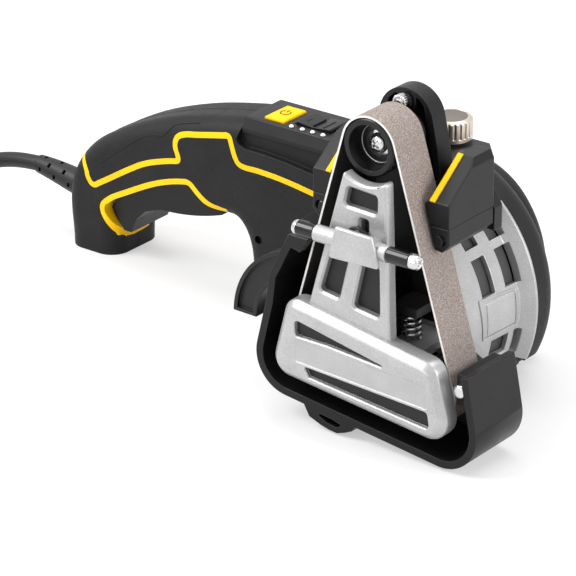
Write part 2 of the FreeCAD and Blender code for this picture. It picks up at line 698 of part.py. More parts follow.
def frontHousing():
    """The front clamshell, with the motor drum, the base, the guide pedestal and the bell collar."""
    face = d.splitPlane - d.handleHalf
    body = housingShell("front_housing", shellLine, face, 1)
    drumFront = d.cassetteFront + d.cassetteThickness
    drum = sketch(body, "drumOutline", offset=-(face + 4))
    left, right, mid, low = d.driveX - d.drumRadius, d.driveX + d.drumRadius, d.driveZ, -121
    curve(drum, [(left, mid), (right, mid, d.driveX, d.driveZ + d.drumRadius), (right, low + 8),
                 (right - 8, low, right - 2.34, low + 2.34), (left + 8, low),
                 (left, low + 8, left + 2.34, low + 2.34)])
    extrude(body, drum, "Pad", face + 4 - drumFront, "drumPad")
    dome = sketch(body, "domeProfile", plane="XY_Plane", offset=d.driveZ)
    curve(dome, [(30, 71), (58, 71), (58, 78), (46, 90, 54.5, 86.5), (46, d.splitPlane), (30, d.splitPlane)])
    turn = FreeCAD.Rotation(vec(0, 1, 0), d.domeStart.value - 90)
    dome.AttachmentOffset = FreeCAD.Placement(vec(d.driveX, 0, d.driveZ), turn)
    step = body.newObject("PartDesign::Revolution", "motorDome")
    step.Profile = dome
    step.ReferenceAxis = (dome, ["V_Axis"])
    bind(step, "Angle", d.domeEnd - d.domeStart)
    pedestal = sketch(body, "pedestalOutline", offset=-60)
    polygon(pedestal, [(-14, -55), (8, -55), (8, d.guideFloor), (-14, d.guideFloor)])
    extrude(body, pedestal, "Pad", 15, "pedestalPad")
    neck = sketch(body, "pedestalNeck", offset=-(face + 1))
    polygon(neck, [(-14, -55), (8, -55), (8, -41), (-14, -41)])
    extrude(body, neck, "Pad", face + 1 - 60, "pedestalNeckPad")
    for radius, front in ((d.motorBore, 46), (d.bearingRadius + 0.05, d.boreFront), (d.shaftRadius + 1.2, 28)):
        bore = sketch(body, "motorBore", offset=-d.splitPlane)
        circle(bore, d.driveX, d.driveZ, radius)
        extrude(body, bore, "Pocket", d.splitPlane - front, "motorBoreCut", reverse=True)
    marks = sketch(body, "mouldHole", offset=-face)
    circle(marks, *screws[0], 2)
    extrude(body, marks, "Pocket", 3, "mouldHoleCut")
    facet = sketch(body, "facetOutline", offset=-face)
    polygon(facet, [(-126, -51), (-124.5, -46), (-123.5, -39), (-78.4, -39), (-78.4, -57.6), (-87.1, -56.8),
                    (-99.3, -55.3), (-112.8, -54.4), (-121.7, -54.4), (-124.6, -53.2)])
    extrude(body, facet, "Pocket", 3.5, "facetCut")
    sharedCuts(body, -1)
    return body


def rearHousing():
    """The rear clamshell, with the seat of the rear bearing and its air slots."""
    body = housingShell("rear_housing", rearLine, d.splitPlane + d.handleHalf, -1)
    for radius, back in ((d.motorBore, 96), (d.bearingRadius + 0.05, 106)):
        bore = sketch(body, "motorBore", offset=-d.splitPlane)
        circle(bore, d.driveX, d.driveZ, radius)
        extrude(body, bore, "Pocket", back - d.splitPlane, "motorBoreCut")
    heads = sketch(body, "screwHeads", offset=-(d.splitPlane + d.handleHalf))
    for x, z in screws:
        circle(heads, x, z, 3.7)
    extrude(body, heads, "Pocket", 3, "screwHeadCut", reverse=True)
    sharedCuts(body, 1)
    slots = sketch(body, "airSlots", offset=-(d.splitPlane + d.handleHalf - 15))
    for row in range(-2, 3):
        z = d.driveZ + row * 7
        for side in (-1, 1):
            polygon(slots, [(d.driveX + side * 15, z - 1.5), (d.driveX + side * 27, z - 1.5),
                            (d.driveX + side * 27, z + 1.5), (d.driveX + side * 15, z + 1.5)])
    extrude(body, slots, "Pocket", 20, "airSlotCut")
    return body


def accents(front, rear):
    """The raised-colour lines, let into both clamshells flush with their crowned faces."""
    lines = {"upper_accent": (upperLine, 6), "lower_accent": (lowerLine, d.handleHalf)}
    for name, (line, depth) in lines.items():
        depth = asSize(depth)
        inlays = []
        for body, outer in ((front, d.splitPlane - d.handleHalf), (rear, d.splitPlane + d.handleHalf)):
            step = body.Tip
            doc.recompute()
            flip = body is rear
            inner = outer - depth if flip else outer + depth
            face = Part.Face(upright(ribbon(line, d.lineHalf), inner))
            bar = face.extrude(vec(0, depth + 4 if flip else -depth - 4))
            inlays.append(step.Shape.common(bar))
            groove = sketch(body, name + "Groove", offset=-inner)
            groove.addGeometry(ribbon(line, d.lineHalf), False)
            extrude(body, groove, "Pocket", depth + 4, name + "GrooveCut", reverse=not flip)
        feature(name, Part.makeCompound([solid for inlay in inlays for solid in inlay.Solids]))


def bellCover():
    """The flared metal cover over the upper right of the drum, with vents and a raised panel."""
    body = newBody("bell_cover", x=d.driveX, z=d.driveZ)
    sweep = d.bellEnd - d.bellStart
    front, flange = d.bellFront, d.flangePlane

    def turned(drawing, name, kind, start, end):
        """A turned slice between two angles from the top, drawn in the plane where it starts."""
        turn = FreeCAD.Rotation(vec(0, 1, 0), float(start) - 90)
        drawing.AttachmentOffset = FreeCAD.Placement(vec(0, 0, 0), turn)
        step = body.newObject(f"PartDesign::{kind}", name)
        step.Profile = drawing
        step.ReferenceAxis = (drawing, ["V_Axis"])
        bind(step, "Angle", asSize(end) - start)
        return step

    wall, skin = d.bellRadius, d.bellThickness
    profile = sketch(body, "bellProfile", plane="XY_Plane")
    polygon(profile, [(wall - 2, front), (wall, front - 1), (wall + 1, front), (wall + 3.2, flange - 5),
                      (d.flangeRadius, flange), (d.flangeRadius, flange + 1), (wall + 1, flange + 1),
                      (wall + 1.2, flange - 4), (wall - 1, front + 3)])
    turned(profile, "bellShell", "Revolution", d.bellStart, d.bellEnd)
    badge = sketch(body, "panelProfile", plane="XY_Plane")
    polygon(badge, [(wall + 0.5, 44), (wall + 2.4, 44.6), (wall + 3.7, 67), (wall + 2, 68)])
    turned(badge, "panelRaise", "Revolution", 79, 94)
    vents = [(43, 51.5, 58, 76), (58, 66.5, 58, 76), (43, 51.5, 45.5, 53), (58, 66.5, 45.5, 54),
             (48, 59.5, 98, 108), (63, 66.5, 98, 110.5)]
    for number, (low, high, start, end) in enumerate(vents):
        vent = sketch(body, f"vent{number}", plane="XY_Plane")
        polygon(vent, [(wall - 4, low), (wall + 8, low), (wall + 8, high), (wall - 4, high)])
        turned(vent, f"ventCut{number}", "Groove", start, end)


def motorParts():
    """The motor: stator, armature with its shaft, fan, bearings and brush holders."""
    x, z = d.driveX, d.driveZ

    def turnedPiece(name, profile):
        body = newBody(name, x=x, z=z)
        drawing = sketch(body, name + "Profile", plane="XY_Plane")
        polygon(drawing, profile)
        revolve(body, drawing, name + "Turned")
        return body

    nose, shaft, core = d.pulleyFront + d.dishDepth + 1.6, d.shaftRadius, d.armatureRadius
    turnedPiece("motor_armature", [
        (0, nose), (d.axleRadius, nose), (d.axleRadius, 19.6), (shaft, 19.6), (shaft, 55), (core - 4, 55),
        (core, 58), (core, 82), (core - 4, 85), (shaft, 85), (shaft, 87.5), (9, 87.5), (9, 95), (shaft, 95),
        (shaft, 105.6), (0, 105.6)])
    stator = newBody("motor_stator", x=x, z=z)
    ring = sketch(stator, "statorOutline", offset=-86)
    circle(ring, 0, 0, d.statorRadius)
    circle(ring, 0, 0, d.statorBore)
    extrude(stator, ring, "Pad", 32, "statorPad")
    flats = sketch(stator, "statorFlats", offset=-53)
    for side in (-1, 1):
        polygon(flats, [(side * 28, -30), (side * 40, -30), (side * 40, 30), (side * 28, 30)])
    extrude(stator, flats, "Pocket", 34, "statorFlatCut")
    outer, inner = d.bearingRadius, d.shaftRadius + d.runGap
    for name, front in (("front_bearing", 36), ("rear_bearing", 99)):
        turnedPiece(name, [(inner, front), (outer, front), (outer, front + d.bearingWidth),
                           (inner, front + d.bearingWidth)])
    fan = newBody("cooling_fan", x=x, z=z)
    disc = sketch(fan, "discOutline", offset=-53.2)
    circle(disc, 0, 0, 27)
    circle(disc, 0, 0, shaft + 0.02)
    extrude(fan, disc, "Pad", 1.6, "disc")
    blade = sketch(fan, "bladeOutline", offset=-52)
    polygon(blade, [(9, -0.8), (26, 3.2), (26, 4.8), (9, 0.8)])
    step = extrude(fan, blade, "Pad", 5, "blade")
    ringOf = fan.newObject("PartDesign::PolarPattern", "blades")
    ringOf.Originals = [step]
    ringOf.Axis = (blade, ["N_Axis"])
    ringOf.Angle = 360
    ringOf.Occurrences = 11
    fan.Tip = ringOf
    brushes = []
    for side in (-1, 1):
        near, far = x + side * 9.3, x + side * 32.8
        low, high = (near, far) if side > 0 else (far, near)
        brushes.append(block((low, 88.5, z - 3), (high, 94, z + 3)))
    feature("brush_holders", Part.makeCompound(brushes))


# Sharpening guide

def guideFrame():
    """The guide's body with its arched tower, the yoke behind the wings and the knob seat."""
    body = newBody("guide_frame")
    back = d.towerFront + d.towerDepth
    arch = [(-19.5, d.guideFloor), (-15.5, -5), (-11.5, 13), (-7, d.towerTop), (7, d.towerTop), (11.5, 13),
            (15.5, -5), (19.5, d.guideFloor)]
    tower = sketch(body, "towerOutline", offset=-back)
    polygon(tower, arch)
    step = extrude(body, tower, "Pad", d.towerDepth, "towerPad")
    inside = sideLine(arch, d.towerWall)
    recess = sketch(body, "towerRecess", offset=-d.towerFront)
    polygon(recess, [(inside[0][0], d.guideFloor + 9), *inside[1:-1], (inside[-1][0], d.guideFloor + 9)])
    extrude(body, recess, "Pocket", d.towerDepth - 2.5, "towerRecessCut")
    boss = sketch(body, "screwSeat", offset=-(back - 1))
    circle(boss, 0, 12.2, 4.6)
    extrude(body, boss, "Pad", d.towerDepth - 1, "screwSeatPad")
    deck = sketch(body, "deckOutline", plane="XY_Plane", offset=d.guideFloor)
    polygon(deck, [(-20, back - 1), (20, back - 1), (20, 40), (22, 42), (22, 54), (15, d.guideBack),
                   (-15, d.guideBack), (-22, 54), (-22, 42), (-20, 40)])
    extrude(body, deck, "Pad", 16, "deckPad")
    yoke = sketch(body, "yokeOutline", offset=-44.5)
    ear = d.wingOuter + 0.2
    polygon(yoke, [(-ear, d.wingBottom), (-25, d.wingBottom), (-21, d.guideFloor), (21, d.guideFloor),
                   (25, d.wingBottom), (ear, d.wingBottom), (ear, -30), (24, -15), (-24, -15), (-ear, -30)])
    extrude(body, yoke, "Pad", 44.5 - d.wingBack - d.slideGap, "yokePad")
    holes = sketch(body, "pinHoles", offset=-d.wingBack)
    for side in (-1, 1):
        circle(holes, side * d.pivotX, d.pivotZ, d.pivotRadius)
    extrude(body, holes, "Pocket", 8, "pinHoleCut")
    seat = sketch(body, "knobSeat", plane="XY_Plane", offset=d.guideFloor + 16)
    circle(seat, 0, d.knobY, 3 + d.runGap)
    extrude(body, seat, "Pocket", 9, "knobSeatCut")
    slot = sketch(body, "towerSlot", offset=-(back - 4))
    polygon(slot, [(-10.4, -9), (-7.4, -9), (-6.4, 4), (-8.6, 4)])
    extrude(body, slot, "Pocket", 8, "towerSlotCut")

    pins = [rod(d.pivotRadius, (side * d.pivotX, d.wingFront + 2, d.pivotZ), (side * d.pivotX, 44.5, d.pivotZ))
            for side in (-1, 1)]
    feature("wing_pins", Part.makeCompound(pins))
    hexagon = [(3.4 * math.cos(math.radians(30 + 60 * i)), 13.2 + 3.4 * math.sin(math.radians(30 + 60 * i)))
               for i in range(6)]
    feature("tracking_screw", prism(hexagon, d.towerFront - 3, d.towerFront))


def wings():
    """The two sprung guides beside the belt: lower wedge, upper block with its ramp, and strip."""
    outer, top, bottom, seam = d.wingOuter, d.wingTop, d.wingBottom, d.wingSeam
    block = [(26.5, bottom + 0.5), (23.7, seam), (21.3, -20.5), (24, -18.5), (24, top), (outer - 2.3, top),
             (outer - 0.3, top - 3), (outer, -36), (30, bottom)]
    bore = rod(d.pivotRadius + d.runGap, (d.pivotX, 0, d.pivotZ), (d.pivotX, 60, d.pivotZ))
    whole = prism(block, d.wingFront, d.wingBack)
    ramp = [(d.wingFront - 1, d.rampFoot), (d.wingFront, d.rampFoot), (d.rampHead, top), (d.rampHead, top + 5),
            (d.wingFront - 1, top + 5)]
    corners = [vec(15, y, z) for y, z in ramp]
    aboveRamp = Part.Face(Part.makePolygon(corners + corners[:1])).extrude(vec(25, 0, 0))
    whole = whole.cut([bore, aboveRamp])
    below = Part.makeBox(40, 60, 40, vec(10, 0, seam - 40))
    slope = vec(0, d.rampHead - d.wingFront, top - d.rampFoot)
    lift = vec(0, -slope.z, slope.y) * (float(d.stripThickness) / slope.Length)
    foot = vec(24.1, d.wingFront, d.rampFoot)
    corners = [foot, foot + slope, foot + slope + lift, foot + lift]
    strip = Part.Face(Part.makePolygon(corners + corners[:1])).extrude(vec(d.stripWidth, 0, 0))
    for side, flip in (("right", False), ("left", True)):
        parts = {"guide_wing": whole.cut(below), "wing_base": whole.common(below), "contact_strip": strip}
        for name, shape in parts.items():
            feature(f"{side}_{name}", mirrored(shape) if flip else shape)


def angleKnob():
    """The knurled knob that sets the angle of both wings."""
    body = newBody("angle_knob", y=d.knobY, z=d.knobTop)
    base = sketch(body, "knobOutline", plane="XY_Plane", offset=-d.knobHeight)
    circle(base, 0, 0, d.knobRadius)
    step = extrude(body, base, "Pad", d.knobHeight, "knobPad")
    rim = edgesWhere(step, lambda edge: inPlane(edge, 2, 0))
    dress(body, "Chamfer", step, rim, 1, "knobRim")
    flute = sketch(body, "fluteOutline", plane="XY_Plane")
    circle(flute, d.knobRadius + 0.35, 0, 0.8)
    cutter = extrude(body, flute, "Pocket", d.knobHeight - 1.5, "flute")
    ring = body.newObject("PartDesign::PolarPattern", "flutes")
    ring.Originals = [cutter]
    ring.Axis = (flute, ["N_Axis"])
    ring.Angle = 360
    ring.Occurrences = 24
    body.Tip = ring
    stem = sketch(body, "stemOutline", plane="XY_Plane", offset=-d.knobHeight - 8)
    circle(stem, 0, 0, 3)
    extrude(body, stem, "Pad", 9, "stemPad")


def edgeGuide():
    """The bar in front of the belt: a plate with two barrels, two sleeves and their end screws."""
    middle, y, z = d.edgeMiddle, d.edgeY, d.edgeZ
    plateHalf, barrelEnd, sleeveEnd = 10.5, 18, d.rodEnd - 2
    plate = prism([(middle - plateHalf, z - 11), (middle + plateHalf, z - 11), (middle + plateHalf, z + 4.5),
                   (middle - plateHalf, z + 4.5)], y - 3.8, d.frontFace)
    upright4 = [edge for edge in plate.Edges if alongY(edge)]
    plate = plate.makeFillet(2, upright4)
    barrels = rod(d.barrelRadius, (middle - barrelEnd, y, z), (middle + barrelEnd, y, z))
    feature("edge_guide_body", plate.fuse(barrels).removeSplitter())
    sleeves, caps = [], []
    for side in (-1, 1):
        start, end = middle + side * barrelEnd, middle + side * sleeveEnd
        sleeves.append(rod(d.rodRadius, (start, y, z), (end, y, z)))
        cap = rod(2.6, (end, y, z), (middle + side * d.rodEnd, y, z))
        rim = [edge for edge in cap.Edges if abs(edge.CenterOfMass.x - float(middle + side * d.rodEnd)) < 0.01]
        caps.append(cap.makeFillet(1.2, rim))
    feature("edge_guide_rods", Part.makeCompound(sleeves))
    feature("edge_guide_screws", Part.makeCompound(caps))


# Controls

def controls():
    """The control panel with its button, rocker, lights and board, and the trigger paddle."""
    top = d.podTop
    sides = ((80.6, 0), (105.4, 0), (107.8, -5), (107.8, -6.5), (78.2, -6.5), (78.2, -5))
    section = [vec(-124.5, y, top + z) for y, z in sides]
    lid = Part.Face(Part.makePolygon(section + section[:1])).extrude(vec(46, 0, 0))
    lid = lid.makeFillet(0.8, [edge for edge in lid.Edges if inPlane(edge, 2, top)])
    skirt = block((-121.9, 81.6, top - 14), (-81.1, 104.4, top - 3))
    inside = block((-120.2, 83.3, top - 15), (-82.8, 102.7, top - d.lidWall))
    buttonHole = block((-116.3, 83, top - 4), (-105.3, 99.7, top + 1))
    rockerHole = block((-101.8, 85.6, top - 4), (-82.2, 99.4, top + 1))
    lampSpots = [(-100.6, 82.2), (-94.8, 82.2), (-89.3, 82.2), (-83.8, 82.2)]
    lamps = [rod(0.7, (x, y, top - 1.4), (x, y, top + 0.3)) for x, y in lampSpots]
    holes = [rod(0.7, (x, y, top - 1.4), (x, y, top + 1)) for x, y in lampSpots]
    lugs = [block((-94.5, y, top - 7.8), (-89.5, y + 2.2, top - 3)) for y in (83.2, 99.6)]
    lugBore = rod(1.2 + d.runGap, (-92, 83, top - 5.6), (-92, 103, top - 5.6))
    panel = lid.fuse(skirt).cut(inside).fuse(lugs).cut([buttonHole, rockerHole, lugBore] + holes)
    feature("control_panel", panel.removeSplitter())
    feature("indicator_lights", Part.makeCompound(lamps))
    board = block((-120, 83.5, top - 12.4), (-83, 102.5, top - 10.8))
    switches = [block((-114, 88, top - 10.8), (-108, 94, top - 6.6)),
                block((-95, 89.5, top - 10.8), (-89, 95.5, top - 7.2))]
    feature("circuit_board", board.fuse(switches).removeSplitter())

    cap = block((-116, 83.3, top - 3.4), (-105.6, 99.4, top + 1.2))
    cap = cap.makeFillet(1, [edge for edge in cap.Edges if inPlane(edge, 2, top + 1.2)])
    flange = block((-117.5, 84.5, top - 4.6), (-104.1, 98.2, top - 3.3))
    feature("power_button", cap.fuse(flange).removeSplitter())
    rocker = [vec(-101, 0, top - 3), vec(-83, 0, top - 3), vec(-83, 0, top + 1.5), vec(-92, 0, top + 0.6),
              vec(-101, 0, top + 1.5)]
    wedge = Part.Face(Part.makePolygon(rocker + rocker[:1])).extrude(vec(0, 13, 0))
    wedge.translate(vec(0, 86))
    ends = [edge for edge in wedge.Edges if inPlane(edge, 0, -101) or inPlane(edge, 0, -83)]
    wedge = wedge.makeFillet(0.6, ends)
    post = block((-94, 90, top - 6.9), (-90, 95, top - 2.9))
    axle = rod(1.2, (-92, 83.5, top - 5.6), (-92, 101.5, top - 5.6))
    feature("speed_rocker", wedge.fuse([post, axle]).removeSplitter())

    body = newBody("trigger_paddle")
    middle = d.splitPlane
    outline = sketch(body, "paddleOutline", offset=-(middle + d.paddleHalf))
    curve(outline, [(-200.6, -102.8), (-197.8, -97.5), (-197, -91), (-193, -85.5), (-188.5, -86), (-186, -90),
                    (-183, -89.3), (-171, -83.8), (-153, -78.9), (-145.5, -85.4), (-137.2, -88.9),
                    (-137.2, -90.6), (-172, -97, -155, -95.3), (-181, -100.2), (-186.5, -105.5),
                    (-189.5, -112.5), (-193.6, -112.4), (-198, -107.4)])
    step = extrude(body, outline, "Pad", d.paddleHalf * 2, "paddlePad")
    bore = sketch(body, "paddleBore", offset=-(middle - d.paddleHalf))
    circle(bore, d.paddlePinX, d.paddlePinZ, 2 + d.runGap)
    extrude(body, bore, "Pocket", d.paddleHalf * 2 + 1, "paddleBoreCut")
    reach = d.handleHalf - 1.6
    feature("trigger_pin", rod(2, (d.paddlePinX, middle - reach, d.paddlePinZ),
                               (d.paddlePinX, middle + reach, d.paddlePinZ)))


def fasteners():
    """The clamshell screws and the rubber feet under the base."""
    face = d.splitPlane + d.handleHalf
    pieces = []
    for x, z in screws:
        head = rod(3.2, (x, face - 3, z), (x, face - 0.8, z))
        rim = [edge for edge in head.Edges if inPlane(edge, 1, face - 0.8)]
        pieces.append(head.makeFillet(0.9, rim).fuse(rod(1.5, (x, face - 3, z), (x, d.splitPlane - 6, z))))
    feature("housing_screws", Part.makeCompound(pieces))
    floor = -d.originZ
    pads = [rod(6.5, (x, y, floor), (x, y, top)) for x, y, top in
            ((-56, 42, -121), (8, 42, -121), (-104, 93, -121), (4, 93, -121))]
    feature("foot_pads", Part.makeCompound(pads))


# Cord

reliefEnd = (-254.4, -99.5)
cordRoute = [(-254.4, 93, -99.5), (-273.4, 93, -100.2), (-300, 93, -113.2), (-322, 93, -121.1),
             (-345, 93, -121.1)]


def cordTube(points, radius, name):
    """A tube of straight runs joined by arcs, each as large as its two runs allow."""
    corners = [vec(*point) for point in points]
    path, last = [], corners[0]
    for before, here, after in zip(corners, corners[1:], corners[2:]):
        inWay, outWay = (here - before), (after - here)
        shorter = min(inWay.Length, outWay.Length)
        inWay.normalize()
        outWay.normalize()
        half = inWay.getAngle(outWay) / 2
        reach = 0.45 * shorter
        print(name, "radius", round(reach / math.tan(half), 1))
        start, end = here - inWay * reach, here + outWay * reach
        path.append(Part.LineSegment(last, start))
        path.append(Part.Arc(start, bendMiddle(start, inWay, end), end))
        last = end
    path.append(Part.LineSegment(last, corners[-1]))
    wire = Part.Wire([piece.toShape() for piece in path])
    way = corners[1] - corners[0]
    ring = Part.Wire([Part.Circle(corners[0], way, float(radius)).toShape()])
    shape = wire.makePipeShell([ring], True, False)
    section = math.pi * float(radius) ** 2
    print(name, "length", round(wire.Length, 1), "volume over section", round(shape.Volume / section, 1))
    feature(name, shape)


def cord():
    """The strain relief, the free cord, its coil put away on the floor, the tail and the plug."""
    rings = []
    for (x, z, turn), radius in zip(((-225.7, -103.8, 170), (-235, -102.1, 172), (-245, -100.5, 175),
                                     (-254.4, -99.5, 182)), (6.3, 5.8, 5.1, 4.3)):
        way = vec(math.cos(math.radians(turn)), 0, math.sin(math.radians(turn)))
        rings.append(Part.Wire([Part.Circle(vec(x, d.splitPlane, z), way, radius).toShape()]))
    feature("strain_relief", Part.makeLoft(rings, True, False))
    cordTube(cordRoute, d.cordRadius, "power_cord")

    radius, pitch, rise, least = float(d.cordRadius), 7.7, 7.7, 28.0
    turnAt, turnsOut = 3.25, 2.75
    outer = least + pitch * turnAt
    startX, centreY, low = -345 - 2 * radius, 93 - outer, -121.1
    nodes = [(vec(-345, 93, low), vec(-1, 0, 0))]
    for quarter in range(int(4 * (turnAt + turnsOut)) + 1):
        turns = quarter / 4
        angle = math.pi / 2 + 2 * math.pi * turns
        reach = least + pitch * abs(turns - turnAt)
        height = low + rise * min(max((turns - turnAt + 0.25) / 0.5, 0), 1)
        spot = vec(startX + reach * math.cos(angle), centreY + reach * math.sin(angle), height)
        rate = -pitch if turns < turnAt else pitch
        if turns in (0, turnAt, turnAt + turnsOut):
            rate = 0
        climb = rise / 0.5 if abs(turns - turnAt) < 0.2 else 0
        around = 2 * math.pi * reach
        way = vec(-math.sin(angle) * around + math.cos(angle) * rate,
                  math.cos(angle) * around + math.sin(angle) * rate, climb)
        nodes.append((spot, way.normalize()))
    end = nodes[-1][0] + vec(-2 * radius, 0, 0)
    nodes.append((end, vec(-1, 0, 0)))
    path, shape = tube(nodes, radius)
    print("coil length", round(path.Length, 1), "least gap", round(selfGap(path, radius, 120), 2))
    feature("power_cord_coil", shape)

    tail = [(end.x, end.y, end.z), (end.x - 22.6, end.y, end.z), (end.x - 45.6, end.y - 13.2, -118),
            (end.x - 60.6, end.y - 35.2, -119.3), (end.x - 64.6, end.y - 55.2, -119.3)]
    cordTube(tail, radius, "cord_tail")
    nose, way = vec(*tail[-1]), vec(-4, -20, 0).normalize()
    side = vec(way.y, -way.x, 0)

    def ringAt(distance, wide, high):
        """A rounded cross-section of the plug at a distance from the cord."""
        middle = nose + way * distance
        cut = min(wide, high) * 0.35
        shapePoints = [(wide, high - cut), (wide - cut, high), (cut - wide, high), (-wide, high - cut),
                       (-wide, cut - high), (cut - wide, -high), (wide - cut, -high), (wide, cut - high)]
        corners = [middle + side * a + vec(0, 0, b) for a, b in shapePoints]
        return Part.makePolygon(corners + corners[:1])

    plug = Part.makeLoft([ringAt(*row) for row in ((0, 4, 4), (14, 5, 4.8), (22, 9, 6), (40, 11, 6.1))], True, True)
    feature("plug_body", plug)
    prongs = []
    for offset in (-6.35, 6.35):
        blade = Part.makeBox(1.5, 16, 6.3, vec(-0.75, 0, -3.15))
        blade.Placement = FreeCAD.Placement(nose + way * 40 + side * offset,
                                            FreeCAD.Rotation(vec(0, 1, 0), way))
        prongs.append(blade)
    feature("plug_prongs", Part.makeCompound(prongs))
    near, far = least + 0.5 * pitch - radius - 0.35, least + 2.5 * pitch + radius + 0.35
    bottom, top = low - radius - 0.35, low + rise + radius + 0.35
    strap = block((startX + near - 0.4, centreY - 4, bottom - 0.4), (startX + far + 0.6, centreY + 4, top + 0.6))
    feature("cord_tie", strap.cut(block((startX + near, centreY - 5, bottom), (startX + far, centreY + 5, top))))


pulley("tension_pulley", 0, 0)
pulley("drive_pulley", d.driveX, d.driveZ)
pulley("idler_pulley", d.idlerX, d.idlerZ)
beltPiece()
axleScrew("pulley_screw", 0, 0, d.armFront + d.armThickness)
axleScrew("idler_axle", d.idlerX, d.idlerZ, d.cassetteFront + d.cassetteThickness)
frontPlate()
cassettePlate()
beltGuard()
tensionArm()
spring()
front, rear = frontHousing(), rearHousing()
accents(front, rear)
bellCover()
motorParts()
guideFrame()
wings()
angleKnob()
edgeGuide()
controls()
fasteners()
cord()

doc.recompute()
faults = [thing.Name for thing in doc.Objects if set(thing.State) & {"Invalid", "Error"}]
if faults:
    raise SystemExit(f"failed objects: {faults}")
pieces = [thing for thing in doc.Objects if thing.TypeId in ("PartDesign::Body", "Part::Feature")
          and not thing.getParentGeoFeatureGroup()]
for piece in pieces:
    if piece.Shape.isNull() or not piece.Shape.isValid() or not piece.Shape.Solids:
        raise SystemExit(f"bad shape: {piece.Label}")
os.makedirs("parts", exist_ok=True)
for piece in pieces:
    piece.Shape.exportStep(f"parts/{piece.Label}.step")
print("pieces", len(pieces))
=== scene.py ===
import json
import math

import bmesh
import bpy
from mathutils import Matrix, Vector

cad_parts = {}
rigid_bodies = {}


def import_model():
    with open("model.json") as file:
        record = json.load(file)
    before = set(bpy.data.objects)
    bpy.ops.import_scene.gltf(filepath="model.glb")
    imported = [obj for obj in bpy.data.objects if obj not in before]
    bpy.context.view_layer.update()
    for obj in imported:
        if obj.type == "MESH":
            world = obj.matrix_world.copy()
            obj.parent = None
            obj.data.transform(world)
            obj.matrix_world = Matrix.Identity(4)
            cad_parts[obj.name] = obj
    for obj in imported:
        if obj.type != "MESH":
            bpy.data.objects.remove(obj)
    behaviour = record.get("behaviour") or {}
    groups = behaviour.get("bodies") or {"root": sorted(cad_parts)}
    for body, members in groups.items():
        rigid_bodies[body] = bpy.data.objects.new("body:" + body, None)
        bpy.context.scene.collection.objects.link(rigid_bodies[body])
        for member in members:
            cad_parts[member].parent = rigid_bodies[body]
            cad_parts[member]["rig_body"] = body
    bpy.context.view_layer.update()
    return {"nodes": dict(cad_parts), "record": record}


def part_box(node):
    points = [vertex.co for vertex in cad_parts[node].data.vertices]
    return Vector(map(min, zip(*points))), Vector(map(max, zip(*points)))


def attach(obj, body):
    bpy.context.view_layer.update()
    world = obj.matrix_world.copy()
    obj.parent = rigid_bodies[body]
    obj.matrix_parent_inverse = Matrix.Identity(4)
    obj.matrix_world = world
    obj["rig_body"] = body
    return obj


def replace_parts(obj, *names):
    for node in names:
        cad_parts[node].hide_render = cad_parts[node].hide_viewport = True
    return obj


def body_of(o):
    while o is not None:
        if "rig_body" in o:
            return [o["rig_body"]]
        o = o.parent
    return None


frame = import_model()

nodes = frame["nodes"]
mm = 0.001

# The drawing's own zero is the middle of the top pulley, in depth just behind the pulley's front rim
rimProud = 0.2
pulleyLow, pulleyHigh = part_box("tension_pulley")
zero = Vector(((pulleyLow[0] + pulleyHigh[0]) / 2, pulleyLow[1] + rimProud * mm,
               (pulleyLow[2] + pulleyHigh[2]) / 2))


def at(x, y, z):         # a point of the drawing, in the frame's metres
    return zero + Vector((x, y, z)) * mm


def linked(name, data):      # a new object in the scene
    piece = bpy.data.objects.new(name, data)
    bpy.context.scene.collection.objects.link(piece)
    return piece


print("frame loaded:", len(nodes), "nodes")


# Camera: angles in degrees, its place in millimetres along its own right, up and back from the drawing's
# zero, and farthest in metres

view = {"azimuth": 37.5, "elevation": 24.15, "lens": 218.75, "sensor": 36, "across": -31.27, "up": -54.45,
        "distance": 1361.62, "farthest": 20}


def addCamera():
    turn, rise = math.radians(view["azimuth"]), math.radians(view["elevation"])
    right = Vector((math.cos(turn), math.sin(turn), 0))
    back = Vector((math.sin(turn) * math.cos(rise), -math.cos(turn) * math.cos(rise), math.sin(rise)))
    up = back.cross(right)
    data = bpy.data.cameras.new("camera")
    data.lens, data.sensor_width, data.clip_end = view["lens"], view["sensor"], view["farthest"]
    camera = linked("camera", data)
    spot = right * view["across"] + up * view["up"] + back * view["distance"]
    camera.matrix_world = Matrix.Translation(at(*spot)) @ Matrix((right, up, back)).transposed().to_4x4()
    bpy.context.scene.camera = camera


addCamera()
print("camera placed")


# Finishes: shader maths as expressions, and every other node by one method


class Wire:
    def __init__(self, finish, socket):
        self.finish, self.socket = finish, socket

    def math(self, operation, *values):
        return self.finish.add("Math", {"operation": operation}, dict(enumerate(values)))

    def __add__(self, other):
        return self.math("ADD", self, other)

    def __sub__(self, other):
        return self.math("SUBTRACT", self, other)

    def __rsub__(self, other):
        return self.math("SUBTRACT", other, self)

    def __mul__(self, other):
        return self.math("MULTIPLY", self, other)

    def __gt__(self, other):
        return self.math("GREATER_THAN", self, other)

    def __lt__(self, other):
        return self.math("LESS_THAN", self, other)

    __radd__, __rmul__ = __add__, __mul__


